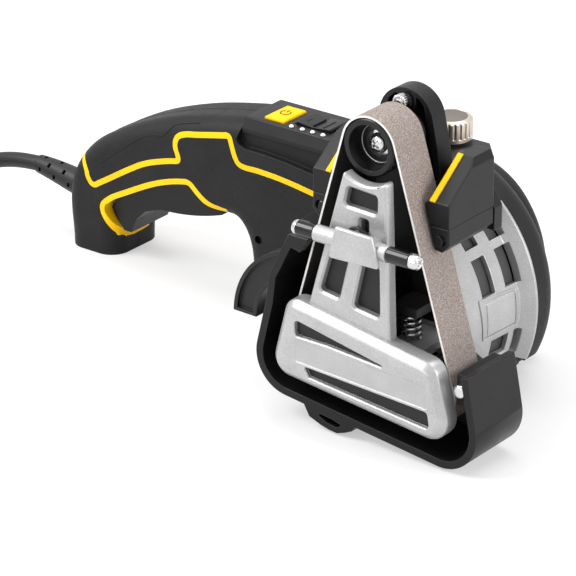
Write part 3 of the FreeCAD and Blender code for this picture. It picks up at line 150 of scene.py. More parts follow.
class Finish:
    def __init__(self, name, **constants):
        self.material = bpy.data.materials.new(name)
        self.material.use_nodes = True
        self.tree = self.material.node_tree
        self.tree.nodes.clear()
        self.place = self.add("TexCoord", output="Object")
        self.shader = self.add("BsdfPrincipled", values=constants, output="BSDF")
        self.end = self.add("OutputMaterial", values={"Surface": self.shader}, output=None)

    def add(self, kind, settings=None, values=None, output=0):
        made = self.tree.nodes.new("ShaderNode" + kind)
        for key, value in (settings or {}).items():
            if key == "stops":
                self.setStops(made.color_ramp, value)
            else:
                setattr(made, key, value)
        for key, value in (values or {}).items():
            self.feed(made, key, value)
        return Wire(self, made.outputs[output] if output is not None else made.inputs[0])

    def setStops(self, ramp, stops):
        while len(ramp.elements) < len(stops):
            ramp.elements.new(0.5)
        for element, (spot, shade) in zip(ramp.elements, stops):
            element.position, element.color = spot, (*shade, 1)

    def feed(self, made, key, value):
        if isinstance(value, Wire):
            self.tree.links.new(value.socket, made.inputs[key])
        else:
            made.inputs[key].default_value = value

    def set(self, **values):         # links into the shader, with _ for a space in a socket's name
        for key, value in values.items():
            self.feed(self.shader.socket.node, key.replace("_", " "), value)

    def noise(self, size, detail=3, roughness=0.55):         # sizes are millimetres
        return self.add("TexNoise", {"noise_dimensions": "3D"},
                        {"Vector": self.place, "Scale": 1 / (size * mm), "Detail": detail,
                         "Roughness": roughness}, "Fac")

    def cells(self, size, output="Distance"):
        return self.add("TexVoronoi", values={"Vector": self.place, "Scale": 1 / (size * mm)}, output=output)

    def ramp(self, value, stops):
        return self.add("ValToRGB", {"stops": stops}, {"Fac": value}, "Color")

    def spread(self, value, low=0.3, high=0.7, newLow=0.0, newHigh=1.0):
        return self.add("MapRange", values={"Value": value, "From Min": low, "From Max": high,
                                            "To Min": newLow, "To Max": newHigh}, output="Result")

    def mix(self, share, one, other):        # of two colours, each a link or three parts
        one, other = [(*colour, 1) if isinstance(colour, tuple) else colour for colour in (one, other)]
        return self.add("Mix", {"data_type": "RGBA"}, {0: share, 6: one, 7: other}, 2)

    def shades(self, share, colour, low, high):      # one colour, darker and lighter over the surface
        return self.mix(share, *[tuple(min(part * step, 1) for part in colour) for step in (low, high)])

    def split(self, vector):
        parts = self.add("SeparateXYZ", values={"Vector": vector}, output="X").socket.node
        return [Wire(self, socket) for socket in parts.outputs]

    def softened(self, radius):      # softens the shading of sharp edges, as a moulding's corners are
        return self.add("Bevel", {"samples": 6}, {"Radius": radius * mm}, "Normal")

    def edges(self, corner):         # 1 on sharp edges and 0 on flats, from the softened normal
        flat = self.add("NewGeometry", output="Normal")
        turn = self.add("VectorMath", {"operation": "DOT_PRODUCT"}, {0: corner, 1: flat}, "Value")
        return self.spread(turn, 0.99, 0.8)

    def bump(self, height, depth, normal=None):
        values = {"Height": height, "Distance": depth * mm}
        if normal:
            values["Normal"] = normal
        return self.add("Bump", values=values, output="Normal")


# Numbers in the looks: texture sizes, corners and depths in mm, dark and light as shares of the colour

# sharp edges go part way to a lighter grey: a painted highlight
mouldedLook = {"cloud": 28, "gloss": 9, "dark": 0.86, "light": 1.14, "swing": 0.05, "wearAndHighlightShare": 0.7}


def moulded(name, colour, roughness, grain=0.25, depth=0.012, corner=0.5, wearAndHighlight=0, specular=0.5, coat=0):
    f, look = Finish(name, **{"Specular IOR Level": specular, "Coat Weight": coat}), mouldedLook
    fine, soft, swing = f.noise(grain, 2), f.softened(corner), look["swing"]
    body = f.shades(f.spread(f.noise(look["cloud"]) * 0.7 + fine * 0.3), colour, look["dark"], look["light"])
    # sharp edges lighten towards a grey level: a painted highlight
    if wearAndHighlight:
        body = f.mix(f.edges(soft) * look["wearAndHighlightShare"], body, (wearAndHighlight, wearAndHighlight, wearAndHighlight))
    f.set(Base_Color=body,
          Roughness=f.spread(f.noise(look["gloss"]), 0.3, 0.7, roughness - swing, roughness + swing),
          Normal=f.bump(fine, depth, soft))
    return f.material


skinLook = {"colour": (0.0085, 0.0085, 0.009), "dark": 0.5, "light": 1.7, "cloud": 16, "patch": 2.6,
            "grain": 0.75, "fine": 0.3, "corner": 0.6, "wearAndHighlight": (0.05, 0.05, 0.05), "wearAndHighlightShare": 0.6,
            "rough": (0.46, 0.6), "depth": 0.04}


def overmould():     # soft-touch skin: charcoal, faintly clouded, with a fine leathery grain, and edges lightened partly by wear and partly as a painted highlight
    f, look = Finish("housingPlastic", **{"Specular IOR Level": 0.2}), skinLook
    patch, grain = f.noise(look["patch"], 4, 0.65), f.cells(look["grain"])
    tone = f.spread(f.noise(look["cloud"], 4, 0.6) * 0.45 + patch * 0.4 + grain * 0.25, 0.32, 0.75)
    soft = f.softened(look["corner"])
    body = f.shades(tone, look["colour"], look["dark"], look["light"])
    # edges lighten: partly wear, partly a painted highlight
    f.set(Base_Color=f.mix(f.edges(soft) * look["wearAndHighlightShare"], body, look["wearAndHighlight"]),
          Roughness=f.spread(patch, 0.3, 0.7, *look["rough"]),
          Normal=f.bump(grain * 0.7 + f.noise(look["fine"], 2) * 0.5, look["depth"], soft))
    return f.material


# the near-white edge colour is a painted highlight
castLook = {"colour": (0.42, 0.42, 0.425), "dark": 0.8, "light": 1.16, "fleck": 0.5, "cloud": 14,
            "corner": 0.7, "bright": (0.85, 0.85, 0.85), "wearAndHighlightShare": 0.7, "rough": (0.3, 0.42), "depth": 0.02}


def castSilver():    # satin silver paint on a die casting, speckled, its edges brightened as a painted highlight
    f, look = Finish("castSilver", **{"Metallic": 0.5, "IOR": 1.6}), castLook
    fleck, soft = f.noise(look["fleck"], 3, 0.7), f.softened(look["corner"])
    tone = f.spread(fleck * 0.7 + f.noise(look["cloud"]) * 0.3, 0.36, 0.64)
    body = f.shades(tone, look["colour"], look["dark"], look["light"])
    # edges go near-white: a painted highlight
    f.set(Base_Color=f.mix(f.edges(soft) * look["wearAndHighlightShare"], body, look["bright"]),
          Roughness=f.spread(fleck, 0.3, 0.7, *look["rough"]),
          Normal=f.bump(fleck, look["depth"], soft))
    return f.material


beltLook = {"grain": 0.28, "speck": 0.36, "cloud": 9, "middle": (2, 9.5, -58), "rough": (0.62, 0.88),
            "depth": 0.05, "dust": (0.30, 0.265, 0.25), "backing": (0.030, 0.027, 0.026),
            "edge": (0.72, 0.70, 0.68),
            "grits": [(0.0, (0.13, 0.095, 0.08)), (0.35, (0.22, 0.172, 0.15)), (0.7, (0.31, 0.26, 0.235)),
                      (1.0, (0.52, 0.48, 0.46))]}


def beltFinish():    # resin-bonded grains outside, dark cloth inside and a bare pale edge in front
    f, look = Finish("beltGrit", **{"Specular IOR Level": 0.25}), beltLook
    speck, red = f.noise(look["speck"], 3, 0.7), f.split(f.cells(look["grain"], "Color"))[0]
    body = f.ramp(f.spread(red * 0.55 + speck * 0.6, 0.26, 0.9), look["grits"])
    outside = f.mix(f.spread(f.noise(look["cloud"]), 0.3, 0.75, 0, 0.35), body, look["dust"])
    flat = f.add("NewGeometry", output="True Normal")
    away = f.add("VectorMath", {"operation": "SUBTRACT"}, {0: f.place, 1: at(*look["middle"])}, "Vector")
    facing = f.add("VectorMath", {"operation": "DOT_PRODUCT"}, {0: away, 1: flat}, "Value")
    shade = f.mix(facing < 0.0, outside, look["backing"])
    ahead = f.split(flat)[1] < -0.5          # faces to the front are the belt's cut edge
    f.set(Base_Color=f.mix(ahead, shade, look["edge"]),
          Roughness=f.spread(speck, 0.3, 0.7, *look["rough"]),
          Normal=f.bump(red * 0.6 + speck, look["depth"]))
    return f.material


shelfLook = {"colour": (0.010, 0.010, 0.0105), "dark": 0.8, "light": 1.25, "fine": 0.5, "cloud": 20,
             "corner": 0.5, "wearAndHighlight": (0.06, 0.06, 0.06), "wearAndHighlightShare": 0.6, "bare": (0.34, 0.34, 0.34),
             "from": (9, 0, -92), "to": (9, 0, -79), "rough": (0.38, 0.48), "depth": 0.02}


def shelfCast():     # dark casting, bare where the spring's shelf was milled, its edges lightened as a painted highlight
    f, look = Finish("shelfCast", **{"Specular IOR Level": 0.3}), shelfLook
    fine, broad, soft = f.noise(look["fine"], 2), f.noise(look["cloud"]), f.softened(look["corner"])
    x, y, z = f.split(f.place)
    low, high = at(*look["from"]), at(*look["to"])
    milled = (x > low.x) * (z > low.z) * (z < high.z)
    dark = f.shades(f.spread(broad * 0.6 + fine * 0.4), look["colour"], look["dark"], look["light"])
    # edges lighten: a painted highlight
    f.set(Base_Color=f.mix(milled, f.mix(f.edges(soft) * look["wearAndHighlightShare"], dark, look["wearAndHighlight"]), look["bare"]),
          Roughness=f.spread(broad, 0.3, 0.7, *look["rough"]), Normal=f.bump(fine, look["depth"], soft))
    return f.material


metalLook = {"smear": 5, "scratch": 0.6, "dark": 0.95, "light": 1.04, "rough": (0.7, 1.4), "depth": 0.006,
             "corner": 0.25}


def polished(name, colour, roughness):       # bare or plated metal, a little smeared
    f, look = Finish(name, **{"Metallic": 1.0}), metalLook
    smear = f.noise(look["smear"])
    f.set(Base_Color=f.shades(smear, colour, look["dark"], look["light"]),
          Roughness=f.spread(smear, 0.3, 0.7, *[roughness * share for share in look["rough"]]),
          Normal=f.bump(f.noise(look["scratch"], 2), look["depth"], f.softened(look["corner"])))
    return f.material


finishes = {
    "housing_plastic": overmould(),
    # the guard's edges lighten: a painted highlight
    "guard_plastic": moulded("guardPlastic", (0.0055, 0.0055, 0.006), 0.36, depth=0.008, wearAndHighlight=0.06,
                             specular=0.25),
    "accent_yellow": moulded("accentYellow", (0.95, 0.53, 0.0), 0.5, depth=0.004, corner=0.3, specular=0.2),
    "cast_silver": castSilver(),
    "dark_cast": moulded("darkCast", (0.011, 0.011, 0.012), 0.42, 0.5, 0.02, specular=0.3),
    "belt_grit": beltFinish(),
    "pulley_black": moulded("pulleyBlack", (0.006, 0.006, 0.0065), 0.3, depth=0.004, specular=0.3),
    "chrome": polished("chrome", (0.62, 0.62, 0.62), 0.14),
    "steel": polished("steel", (0.52, 0.52, 0.53), 0.3),
    "ceramic_black": moulded("ceramicBlack", (0.006, 0.006, 0.0065), 0.12, depth=0.001, specular=0.35,
                             coat=0.1),
    "knob_silver": polished("knobSilver", (0.66, 0.58, 0.50), 0.34),
    "motor_iron": moulded("motorIron", (0.16, 0.16, 0.17), 0.55),
    "board_green": moulded("boardGreen", (0.03, 0.14, 0.07), 0.4),
    "lamp": moulded("lampClear", (0.75, 0.75, 0.73), 0.12, depth=0.001),
    "rubber": moulded("cordRubber", (0.013, 0.013, 0.0135), 0.45, 0.4, 0.01, 0.3, specular=0.3),
    "brass": polished("platedBrass", (0.72, 0.60, 0.36), 0.25),
    "shelf": shelfCast(),
    "liner": moulded("linerGrey", (0.035, 0.035, 0.036), 0.5, 0.5, 0.03),
    "dial": polished("dialGrey", (0.18, 0.16, 0.15), 0.45),
}
slotOf = {part["node"]: part["material_slot"] for part in frame["record"]["subparts"]}
for name, node in nodes.items():
    node.data.materials.clear()
    node.data.materials.append(finishes["shelf" if name == "cassette_plate" else slotOf[name]])


def dressed(piece, slot, body="housing", finish=None):       # finish, slot and body of a new piece
    piece.data.materials.clear()
    piece.data.materials.append(finishes[finish or slot])
    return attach(piece, body)


print("finishes made:", len(finishes))


# Shapes: points, outlines, closed solids and round lines, all in the drawing's millimetres


def arc(centre, radius, first, last, steps):     # flat points on an arc, its angles in degrees
    turns = [math.radians(first + (last - first) * step / steps) for step in range(steps + 1)]
    return [(centre[0] + radius * math.cos(turn), centre[1] + radius * math.sin(turn)) for turn in turns]


def circle(centre, radius, sides):
    return arc(centre, radius, 0, 360, sides)[:-1]


def lifted(flat, axis, reach):       # flat points with their third coordinate put in
    return [(*spot[:axis], reach, *spot[axis:]) for spot in flat]


def solid(name, rings):      # a closed mesh through rings of points
    mesh = bpy.data.meshes.new(name)
    count, last = len(rings[0]), len(rings) - 1
    faces = [tuple(range(count))[::-1], tuple(range(last * count, (last + 1) * count))]
    for ring in range(last):
        for i in range(count):
            j, low = (i + 1) % count, ring * count
            faces.append((low + i, low + j, low + count + j, low + count + i))
    mesh.from_pydata([at(*point) for ring in rings for point in ring], [], faces)
    draft = bmesh.new()
    draft.from_mesh(mesh)
    bmesh.ops.recalc_face_normals(draft, faces=draft.faces)
    draft.to_mesh(mesh)
    draft.free()
    return linked(name, mesh)


cornerSteps = 7


def outlineOf(corners):      # a rounded outline from corners of x, z and radius
    points = []
    for i in range(len(corners)):
        here, before, after = [Vector(corners[j % len(corners)][:2]) for j in (i, i - 1, i + 1)]
        one, two, radius = (before - here).normalized(), (after - here).normalized(), corners[i][2]
        if not radius:
            points.append(here)
            continue
        half = one.angle(two) / 2
        centre = here + (one + two).normalized() * (radius / math.sin(half))
        start, end = [here + way * (radius / math.tan(half)) - centre for way in (one, two)]
        points += [centre + start.slerp(end, step / cornerSteps).normalized() * radius
                   for step in range(cornerSteps + 1)]
    return points


def drawnIn(points, inset):      # the same outline, inset millimetres further in
    count = len(points)
    inset *= math.copysign(1, sum(points[i - 1].cross(points[i]) for i in range(count)))
    moved = []
    for i, here in enumerate(points):
        one, two = (here - points[i - 1]).normalized(), (points[(i + 1) % count] - here).normalized()
        way = Vector((-one.y - two.y, one.x + two.x)).normalized()
        moved.append(here + way * inset / max(way.dot(Vector((-one.y, one.x))), 0.3))
    return moved


def plate(name, corners, steps):     # a solid on a rounded outline, through steps of inset and depth
    outline = outlineOf(corners)
    return solid(name, [lifted(drawnIn(outline, inset), 1, depth) for inset, depth in steps])


realEdge = math.radians(30)


def settled(piece, cutters=()):      # cuts a new piece for good and smooths all but its real edges
    for cutter in cutters:
        cut = piece.modifiers.new(cutter.name, "BOOLEAN")
        cut.operation, cut.solver, cut.object = "DIFFERENCE", "EXACT", cutter
    bpy.context.view_layer.update()
    mesh = bpy.data.meshes.new_from_object(piece.evaluated_get(bpy.context.evaluated_depsgraph_get()))
    piece.modifiers.clear()
    piece.data = mesh
    for cutter in cutters:
        bpy.data.objects.remove(cutter)
    mesh.shade_smooth()
    mesh.set_sharp_from_angle(angle=realEdge)
    return piece


turnedSides = (48, 64, 40)       # of pieces turned on a line across, front to back, and upright


def turned(name, profile, centre, axis=1):       # a turned piece, through a profile of radius and reach
    rings = [lifted(circle(centre, max(radius, 0.001), turnedSides[axis]), axis, reach)
             for radius, reach in profile]
    return settled(solid(name, rings))


def tube(name, points, radius, kind, facets):        # a round line along a curve
    data = bpy.data.curves.new(name, "CURVE")
    data.dimensions = "3D"
    data.bevel_depth, data.bevel_resolution, data.use_fill_caps = radius * mm, facets, True
    spline = data.splines.new(kind)
    spline.points.add(len(points) - 1)
    for point, spot in zip(spline.points, points):
        point.co = (*at(*spot), 1)
    return linked(name, data)


def thread(name, points, radius, closed=False):      # a thin round line through points
    piece = tube(name, points, radius, "POLY", 3)
    piece.data.use_fill_caps = not closed
    piece.data.splines[0].use_cyclic_u = closed
    return piece


crossSizes = {"arm": 0.28, "taper": 0.55, "flare": 1.1, "proud": 0.3}        # arm as a share of its reach


def crossCutter(name, spot, way, reach, depth):      # the tapered solid of a cross recess, way pointing out
    way = Vector(way)
    side = way.orthogonal().normalized()
    up = way.cross(side)
    arm = crossSizes["arm"] * reach
    corners = [(arm, arm), (arm, reach), (-arm, reach), (-arm, arm), (-reach, arm), (-reach, -arm),
               (-arm, -arm), (-arm, -reach), (arm, -reach), (arm, -arm), (reach, -arm), (reach, arm)]
    return solid(name, [[Vector(spot) + way * shift + (side * a + up * b) * scale for a, b in corners]
                        for shift, scale in ((-depth, crossSizes["taper"]),
                                             (crossSizes["proud"], crossSizes["flare"]))])


def carve(piece, cutters):       # cuts hidden solids out of a CAD piece, all in one go
    draft = bmesh.new()
    for cutter in cutters:
        draft.from_mesh(cutter.data)
    tool = cutters[0]
    draft.to_mesh(tool.data)
    draft.free()
    for cutter in cutters[1:]:
        bpy.data.objects.remove(cutter)
    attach(tool, body_of(piece)[0])
    tool.hide_render = tool.hide_viewport = True
    cut = piece.modifiers.new(tool.name, "BOOLEAN")
    cut.operation, cut.solver, cut.object = "DIFFERENCE", "EXACT", tool


def onSurface(node, spots):      # the points of a CAD piece's skin nearest to these
    return [(node.closest_point_on_mesh(at(*spot))[1] - zero) / mm for spot in spots]


# The belt's front end: pulley fittings, front casting, edge guide, wings' pins and tracking screw

pulleyScrew = {"profile": [(0, 4.5), (1.5, 4.55), (2.7, 4.85), (3.6, 5.5), (4.05, 6.4), (4.1, 7.5), (5.3, 7.6),
                           (5.3, 8.45), (3, 8.5), (3, 23.9), (0, 23.9)],
               "cross": ((0, 4.5, 0), (0, -1, 0), 2.1, 1.4)}
snapRings = {"radius": 7.95, "depth": 6.7, "wire": 0.17, "sides": 60,
             "places": {"topSnapRing": ((0, 0), "top_pulley"), "idlerSnapRing": ((30.5, -98), "idler")}}


def addPulleyScrew():        # pan head and washer, with a bright snap ring in each pulley's dish
    cross = crossCutter("pulleyPanCross", *pulleyScrew["cross"])
    screw = settled(turned("pulleyPanScrew", pulleyScrew["profile"], (0, 0)), [cross])
    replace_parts(dressed(screw, "chrome", "tensioner"), "pulley_screw")
    for name, (centre, body) in snapRings["places"].items():
        ring = lifted(circle(centre, snapRings["radius"], snapRings["sides"]), 1, snapRings["depth"])
        dressed(thread(name, ring, snapRings["wire"], closed=True), "steel", body)


casting = {
    "bar": [(-33.2, -68.7, 7), (39.1, -79.8, 7), (48.8, -113.6, 9), (-42, -103.7, 8)],
    "barSteps": [(0.4, -1), (0, -1.4), (0, -7.2), (0.15, -7.7), (0.5, -8.1), (2.5, -10.05), (2.85, -10.3),
                 (3.4, -10.5)],
    "slots": {"upperSlot": [(-28.4, -77.8, 1.6), (-24.5, -78.4, 1), (19.4, -86.6, 0.3), (-12, -84.6, 3),
                            (-28.2, -84.7, 1.6)],
              "lowerSlot": [(-23.6, -97.2, 0.7), (37, -99.8, 1.4), (38.3, -106.9, 1.7), (-21.2, -101.2, 1)]},
    "slotSteps": [(0, -8.3), (0, -9.9), (-0.5, -10.6), (-0.7, -12)],
    "shadeFloorSteps": [(-0.1, -7.9), (-0.1, -8.4)],
    "panel": [(-28, -86.2, 1), (20, -88.3, 1), (36.4, -88.6, 1.5), (37.4, -98.2, 1), (-27.6, -95.6, 1)],
    "panelSteps": [(0, -10.2), (-0.4, -10.5), (-0.8, -12)],
    "spine": [(16.1, -84, 0), (-28, -84, 0), (-7.4, -9.2, 1.1)], "hornRight": (13.2, -9.2, 1.1),
    "saddle": ((2.9, 4.4), 17.4, 240, 300, 12),
    "spineSteps": [(0.5, -1), (0, -1.5), (0, -5.5), (0.3, -6.1), (0.9, -6.5)],
    "windows": {"topWindow": [(-5.2, -15.6, 1.6), (8.9, -16.4, 1.6), (8.9, -24.2, 1.6), (-6.9, -23.6, 1.6)],
                "leftWindow": [(-13.9, -46, 1.6), (-4.9, -46, 1.6), (-9.3, -64.8, 1.6), (-19, -63.3, 1.6)],
                "rightWindow": [(2.1, -46, 1.6), (10, -46, 1.6), (10.6, -68, 1.6), (-2.4, -66.3, 1.6)],
                "keySlot": [(1, -27.4, 1.2), (4.8, -27.6, 1.2), (4.8, -34, 0.5), (1, -34, 0.5)]},
    "windowSteps": [(0, -0.5), (0, -5.55), (-0.95, -6.5), (-1.45, -7)],
}


def addCasting():        # a bevelled bar with slots darkened by dark floors as painted shade, and a bare sunk field, under a windowed spine
    cutters = [plate(name, corners, casting["slotSteps"]) for name, corners in casting["slots"].items()]
    cutters.append(plate("panelCut", casting["panel"], casting["panelSteps"]))
    bar = dressed(settled(plate("castBar", casting["bar"], casting["barSteps"]), cutters), "cast_silver")
    # dark floors in the slots: painted shade in the recesses
    for name, corners in casting["slots"].items():
        dressed(plate(name + "Floor", corners, casting["shadeFloorSteps"]), "dark_cast")
    saddle = [(*spot, 0) for spot in arc(*casting["saddle"])]        # the hollow under the pulley
    corners = casting["spine"] + saddle + [casting["hornRight"]]
    cutters = [plate(name, points, casting["windowSteps"]) for name, points in casting["windows"].items()]
    dressed(settled(plate("castSpine", corners, casting["spineSteps"]), cutters), "cast_silver")
    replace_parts(bar, "front_plate")


edgeGuide = {
    "axis": (-11.2, -36.3),
    "face": [(-4.6, -29.1, 1.3), (13.2, -29.3, 1.3), (17.1, -42, 1.3), (-7.6, -43, 1.3)],
    "faceSteps": [(0.3, -14.1), (0, -14.4), (0, -15.3), (0.2, -15.75), (0.6, -16)],
    "barrel": [(0, -16.8), (3.1, -16.8), (3.5, -16.4), (3.5, 18.2), (3.1, 18.6), (0, 18.6)],
    "latch": [(-4.2, -7.2, -34.6), (-2.6, -7.2, -32.4), (0.4, -7.2, -31.3), (3.6, -7.2, -32),
              (6.4, -7.2, -34.4)], "latchRadius": 0.75,
    "stem": [(-3, -33.6, 1), (12, -33.6, 1), (12, -42, 1), (-3, -42, 1)], "stemSteps": [(0, -6), (0, -10.5)],
    "ends": [{"sleeve": [(0, -25.4), (3.05, -25.4), (3.3, -25.1), (3.3, -17.1), (2.9, -16.8), (0, -16.8)],
              "cap": [(0, -27.9), (1.5, -27.85), (2.5, -27.4), (3.05, -26.5), (3.1, -25.4), (0, -25.4)],
              "tip": -27.9, "out": -1},
             {"sleeve": [(0, 18.6), (2.9, 18.6), (3.3, 18.9), (3.3, 29.2), (3.05, 29.5), (0, 29.5)],
              "cap": [(0, 29.5), (3.1, 29.5), (3.15, 31.2), (2.9, 32.6), (2.3, 33.2), (1.5, 33.4), (0, 33.4)],
              "tip": 33.4, "out": 1}],
    "crossReach": 1.6, "crossDepth": 1.1,
}


def addEdgeGuide():      # a bare cast face in front of its barrel, with a gloss sleeve and a screw at each end
    axis = edgeGuide["axis"]
    face = dressed(settled(plate("guideFace", edgeGuide["face"], edgeGuide["faceSteps"])), "cast_silver")
    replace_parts(face, "edge_guide_body")
    dressed(turned("guideBarrel", edgeGuide["barrel"], axis, 0), "cast_silver")
    dressed(thread("guideLatch", edgeGuide["latch"], edgeGuide["latchRadius"]), "dark_cast")
    dressed(settled(plate("guideStem", edgeGuide["stem"], edgeGuide["stemSteps"])), "cast_silver")
    for i, end in enumerate(edgeGuide["ends"]):
        sleeve = dressed(turned(f"guideSleeve{i}", end["sleeve"], axis, 0), "ceramic_black")
        cap = turned(f"guideScrew{i}", end["cap"], axis, 0)
        cross = crossCutter(f"guideCross{i}", (end["tip"], *axis), (end["out"], 0, 0),
                            edgeGuide["crossReach"], edgeGuide["crossDepth"])
        dressed(settled(cap, [cross]), "chrome")
        if i == 0:
            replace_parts(sleeve, "edge_guide_rods")
            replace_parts(cap, "edge_guide_screws")


pinPlugs = {"profile": [(0, 7.8), (2.1, 7.82), (2.4, 8.0), (2.4, 8.4), (2, 8.6), (2, 10), (0, 10)],
            "places": {"right_wing": (28, -35), "left_wing": (-28, -35)}}


def addPinPlugs():       # dark plugs over the wings' pins
    for body, centre in pinPlugs["places"].items():
        dressed(turned("pinPlug" + body, pinPlugs["profile"], centre), "guard_plastic", body)


knurl = {"centre": (0, 12.6), "radius": 3.4, "groove": 0.32, "ribs": 22,         # steps of depth and scale
         "steps": [(19.7, 0.45), (20.3, 0.5), (20.3, 0.78), (19.9, 0.84), (20.2, 1), (24.4, 1)]}


def addTrackingKnurl():      # the tracking screw's knurled head above the belt
    rings = []
    for depth, scale in knurl["steps"]:
        rib, groove = [circle(knurl["centre"], radius * scale, 2 * knurl["ribs"])
                       for radius in (knurl["radius"], knurl["radius"] - knurl["groove"])]
        rings.append(lifted([spots[i % 2] for i, spots in enumerate(zip(rib, groove))], 1, depth))
    head = dressed(solid("trackingKnurl", rings), "chrome", body_of(nodes["tracking_screw"])[0])
    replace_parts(head, "tracking_screw")


# Marks and fittings on the controls and the knob

powerSign = {"centre": (-110.8, 91.4), "radius": 2.3, "gap": 38, "line": 0.24, "rise": 1.2, "bar": (0.6, 3.0)}
rockerRidges = {"places": {"lessRidge": (-97.8, 90, 93.5), "middleRidge": (-92.6, 87.5, 96),
                           "moreRidge": (-87.4, 87.5, 96)}, "rise": 0.95, "radius": 0.5}
lights = {"places": (-100.6, -94.8, -89.3, -83.8), "y": 82.2,
          "profile": [(0, -0.3), (1.15, -0.3), (1.15, 0.15), (1.0, 0.6), (0.62, 0.95), (0, 1.05)],
          "rim": 1.35, "rimRise": 0.05, "rimWire": 0.2, "rimSides": 24}


def addMarks():      # the power sign on the button, plain ridges on the rocker, and four half-round lamps
    panelTop = (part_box("control_panel")[1][2] - zero.z) / mm
    (x, y), gap, top = powerSign["centre"], powerSign["gap"], panelTop + powerSign["rise"]
    sign = {"powerRing": lifted(arc((x, y), powerSign["radius"], 90 + gap, 450 - gap, 24), 2, top),
            "powerBar": [(x, y + reach, top) for reach in powerSign["bar"]]}
    for name, line in sign.items():
        dressed(thread(name, line, powerSign["line"]), "housing_plastic", "button")
    for name, (spot, *ends) in rockerRidges["places"].items():
        line = [(spot, end, panelTop + rockerRidges["rise"]) for end in ends]
        dressed(thread(name, line, rockerRidges["radius"]), "guard_plastic", "rocker")
    for i, spot in enumerate(lights["places"]):
        centre = (spot, lights["y"])
        profile = [(radius, panelTop + rise) for radius, rise in lights["profile"]]
        dome = dressed(turned(f"lightDome{i}", profile, centre, 2), "lamp")
        rim = lifted(circle(centre, lights["rim"], lights["rimSides"]), 2, panelTop + lights["rimRise"])
        dressed(thread(f"lightRing{i}", rim, lights["rimWire"], closed=True), "guard_plastic")
        if i == 0:
            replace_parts(dome, "indicator_lights")


knobDial = {"centre": (0, 56), "disc": [(0, -4.32), (6.9, -4.32), (6.9, -3.77), (6.6, -3.72), (0, -3.72)],
            "rim": 7.7, "rimTop": -3.82, "rimWire": 0.22, "rimSides": 60}


def addKnobDial():       # a grey dial let into the angle knob's top, inside a turned rim
    dressed(turned("knobDial", knobDial["disc"], knobDial["centre"], 2), "knob_silver", "knob", "dial")
    rim = lifted(circle(knobDial["centre"], knobDial["rim"], knobDial["rimSides"]), 2, knobDial["rimTop"])
    dressed(thread("knobRim", rim, knobDial["rimWire"], closed=True), "knob_silver", "knob")


# Details of the body: foot, bell, parting line and skin

footBand = {"route": [(-199.6, 78.1, -110.6), (-198.4, 78.8, -112.6), (-196.9, 80.6, -114.4),
                      (-195.9, 84, -115.6), (-195.6, 90, -116.2), (-195.7, 96, -116.1), (-196, 101, -115.7),
                      (-196.8, 105, -115)],
            "half": 1.6, "narrow": 0.75,         # half its width, less at both ends, and its section
            "section": [(-0.6, -1), (0.12, -1), (0.3, -0.8), (0.3, 0.8), (0.12, 1), (-0.6, 1)]}


def addFootBand():       # the yellow band goes on round the inner face of the foot
    spots = [Vector(spot) for spot in footBand["route"]]
    last = len(spots) - 1
    rings = []
    for i, spot in enumerate(spots):
        way = (spots[min(i + 1, last)] - spots[max(i - 1, 0)]).normalized()
        out = Vector((way.y, -way.x, 0)).normalized()
        up = out.cross(way).normalized()
        half = footBand["half"] * (footBand["narrow"] if i in (0, last) else 1)
        rings.append([spot + out * a + up * half * b for a, b in footBand["section"]])
    dressed(settled(solid("footBand", rings)), "accent_yellow")


bellFrame = {"steps": 6, "radius": 0.55,
             "top": [(26.1, 40.6, -73.2), (26.8, 48.9, -73.7), (27.5, 57.2, -74.3), (28, 63.2, -74.8)],
             "low": [(27.5, 42.1, -90.2), (28, 50, -90.2), (28.5, 57.9, -90.3), (28.9, 63.2, -90.2)]}


def addBellFrame():      # the raised frame round the bare field on the bell
    top, low, steps = bellFrame["top"], bellFrame["low"], bellFrame["steps"]
    routes = {"Top": top, "Low": low, "Left": [top[0], low[0]], "Right": [top[-1], low[-1]]}
    for name, route in routes.items():
        spots = [Vector(one).lerp(Vector(two), step / steps)
                 for one, two in zip(route, route[1:]) for step in range(steps)] + [Vector(route[-1])]
        line = onSurface(nodes["bell_cover"], spots)
        dressed(thread("bellFrame" + name, line, bellFrame["radius"]), "cast_silver")


bellLiner = {"axis": (-24, -85.5), "angles": (-44, 72), "steps": 36, "thick": 0.6,
             "depths": (38, 66), "radii": (49.0284, 50.8764)}


def addBellLiner():      # the dark inner wall behind the bell's vents
    lines = []
    for i, inward in ((0, 0), (1, 0), (1, bellLiner["thick"]), (0, bellLiner["thick"])):
        flat = arc(bellLiner["axis"], bellLiner["radii"][i] - inward, *bellLiner["angles"], bellLiner["steps"])
        lines.append(lifted(flat, 1, bellLiner["depths"][i]))
    dressed(settled(solid("bellLiner", list(zip(*lines)))), "dark_cast", finish="liner")


parting = {"depth": 93, "radius": 0.16}


def loopsAt(mesh, level):        # the closed outlines of a mesh in the plane at one depth
    flat = {vertex.index for vertex in mesh.vertices if abs(vertex.co.y - level) < 1e-6}
    counts = {}      # of faces in the plane at each edge: one where the outline runs
    for face in mesh.polygons:
        if flat.issuperset(face.vertices):
            for key in face.edge_keys:
                counts[key] = counts.get(key, 0) + 1
    ways = {}
    for edge in mesh.edges:
        if counts.get(edge.key) == 1:
            one, two = edge.vertices
            ways.setdefault(one, []).append(two)
            ways.setdefault(two, []).append(one)
    loops = []
    while ways:
        here, loop = next(iter(ways)), []
        while here is not None:
            loop.append((mesh.vertices[here].co - zero) / mm)
            here = next((i for i in ways.pop(here) if i in ways), None)
        loops.append(loop)
    return loops


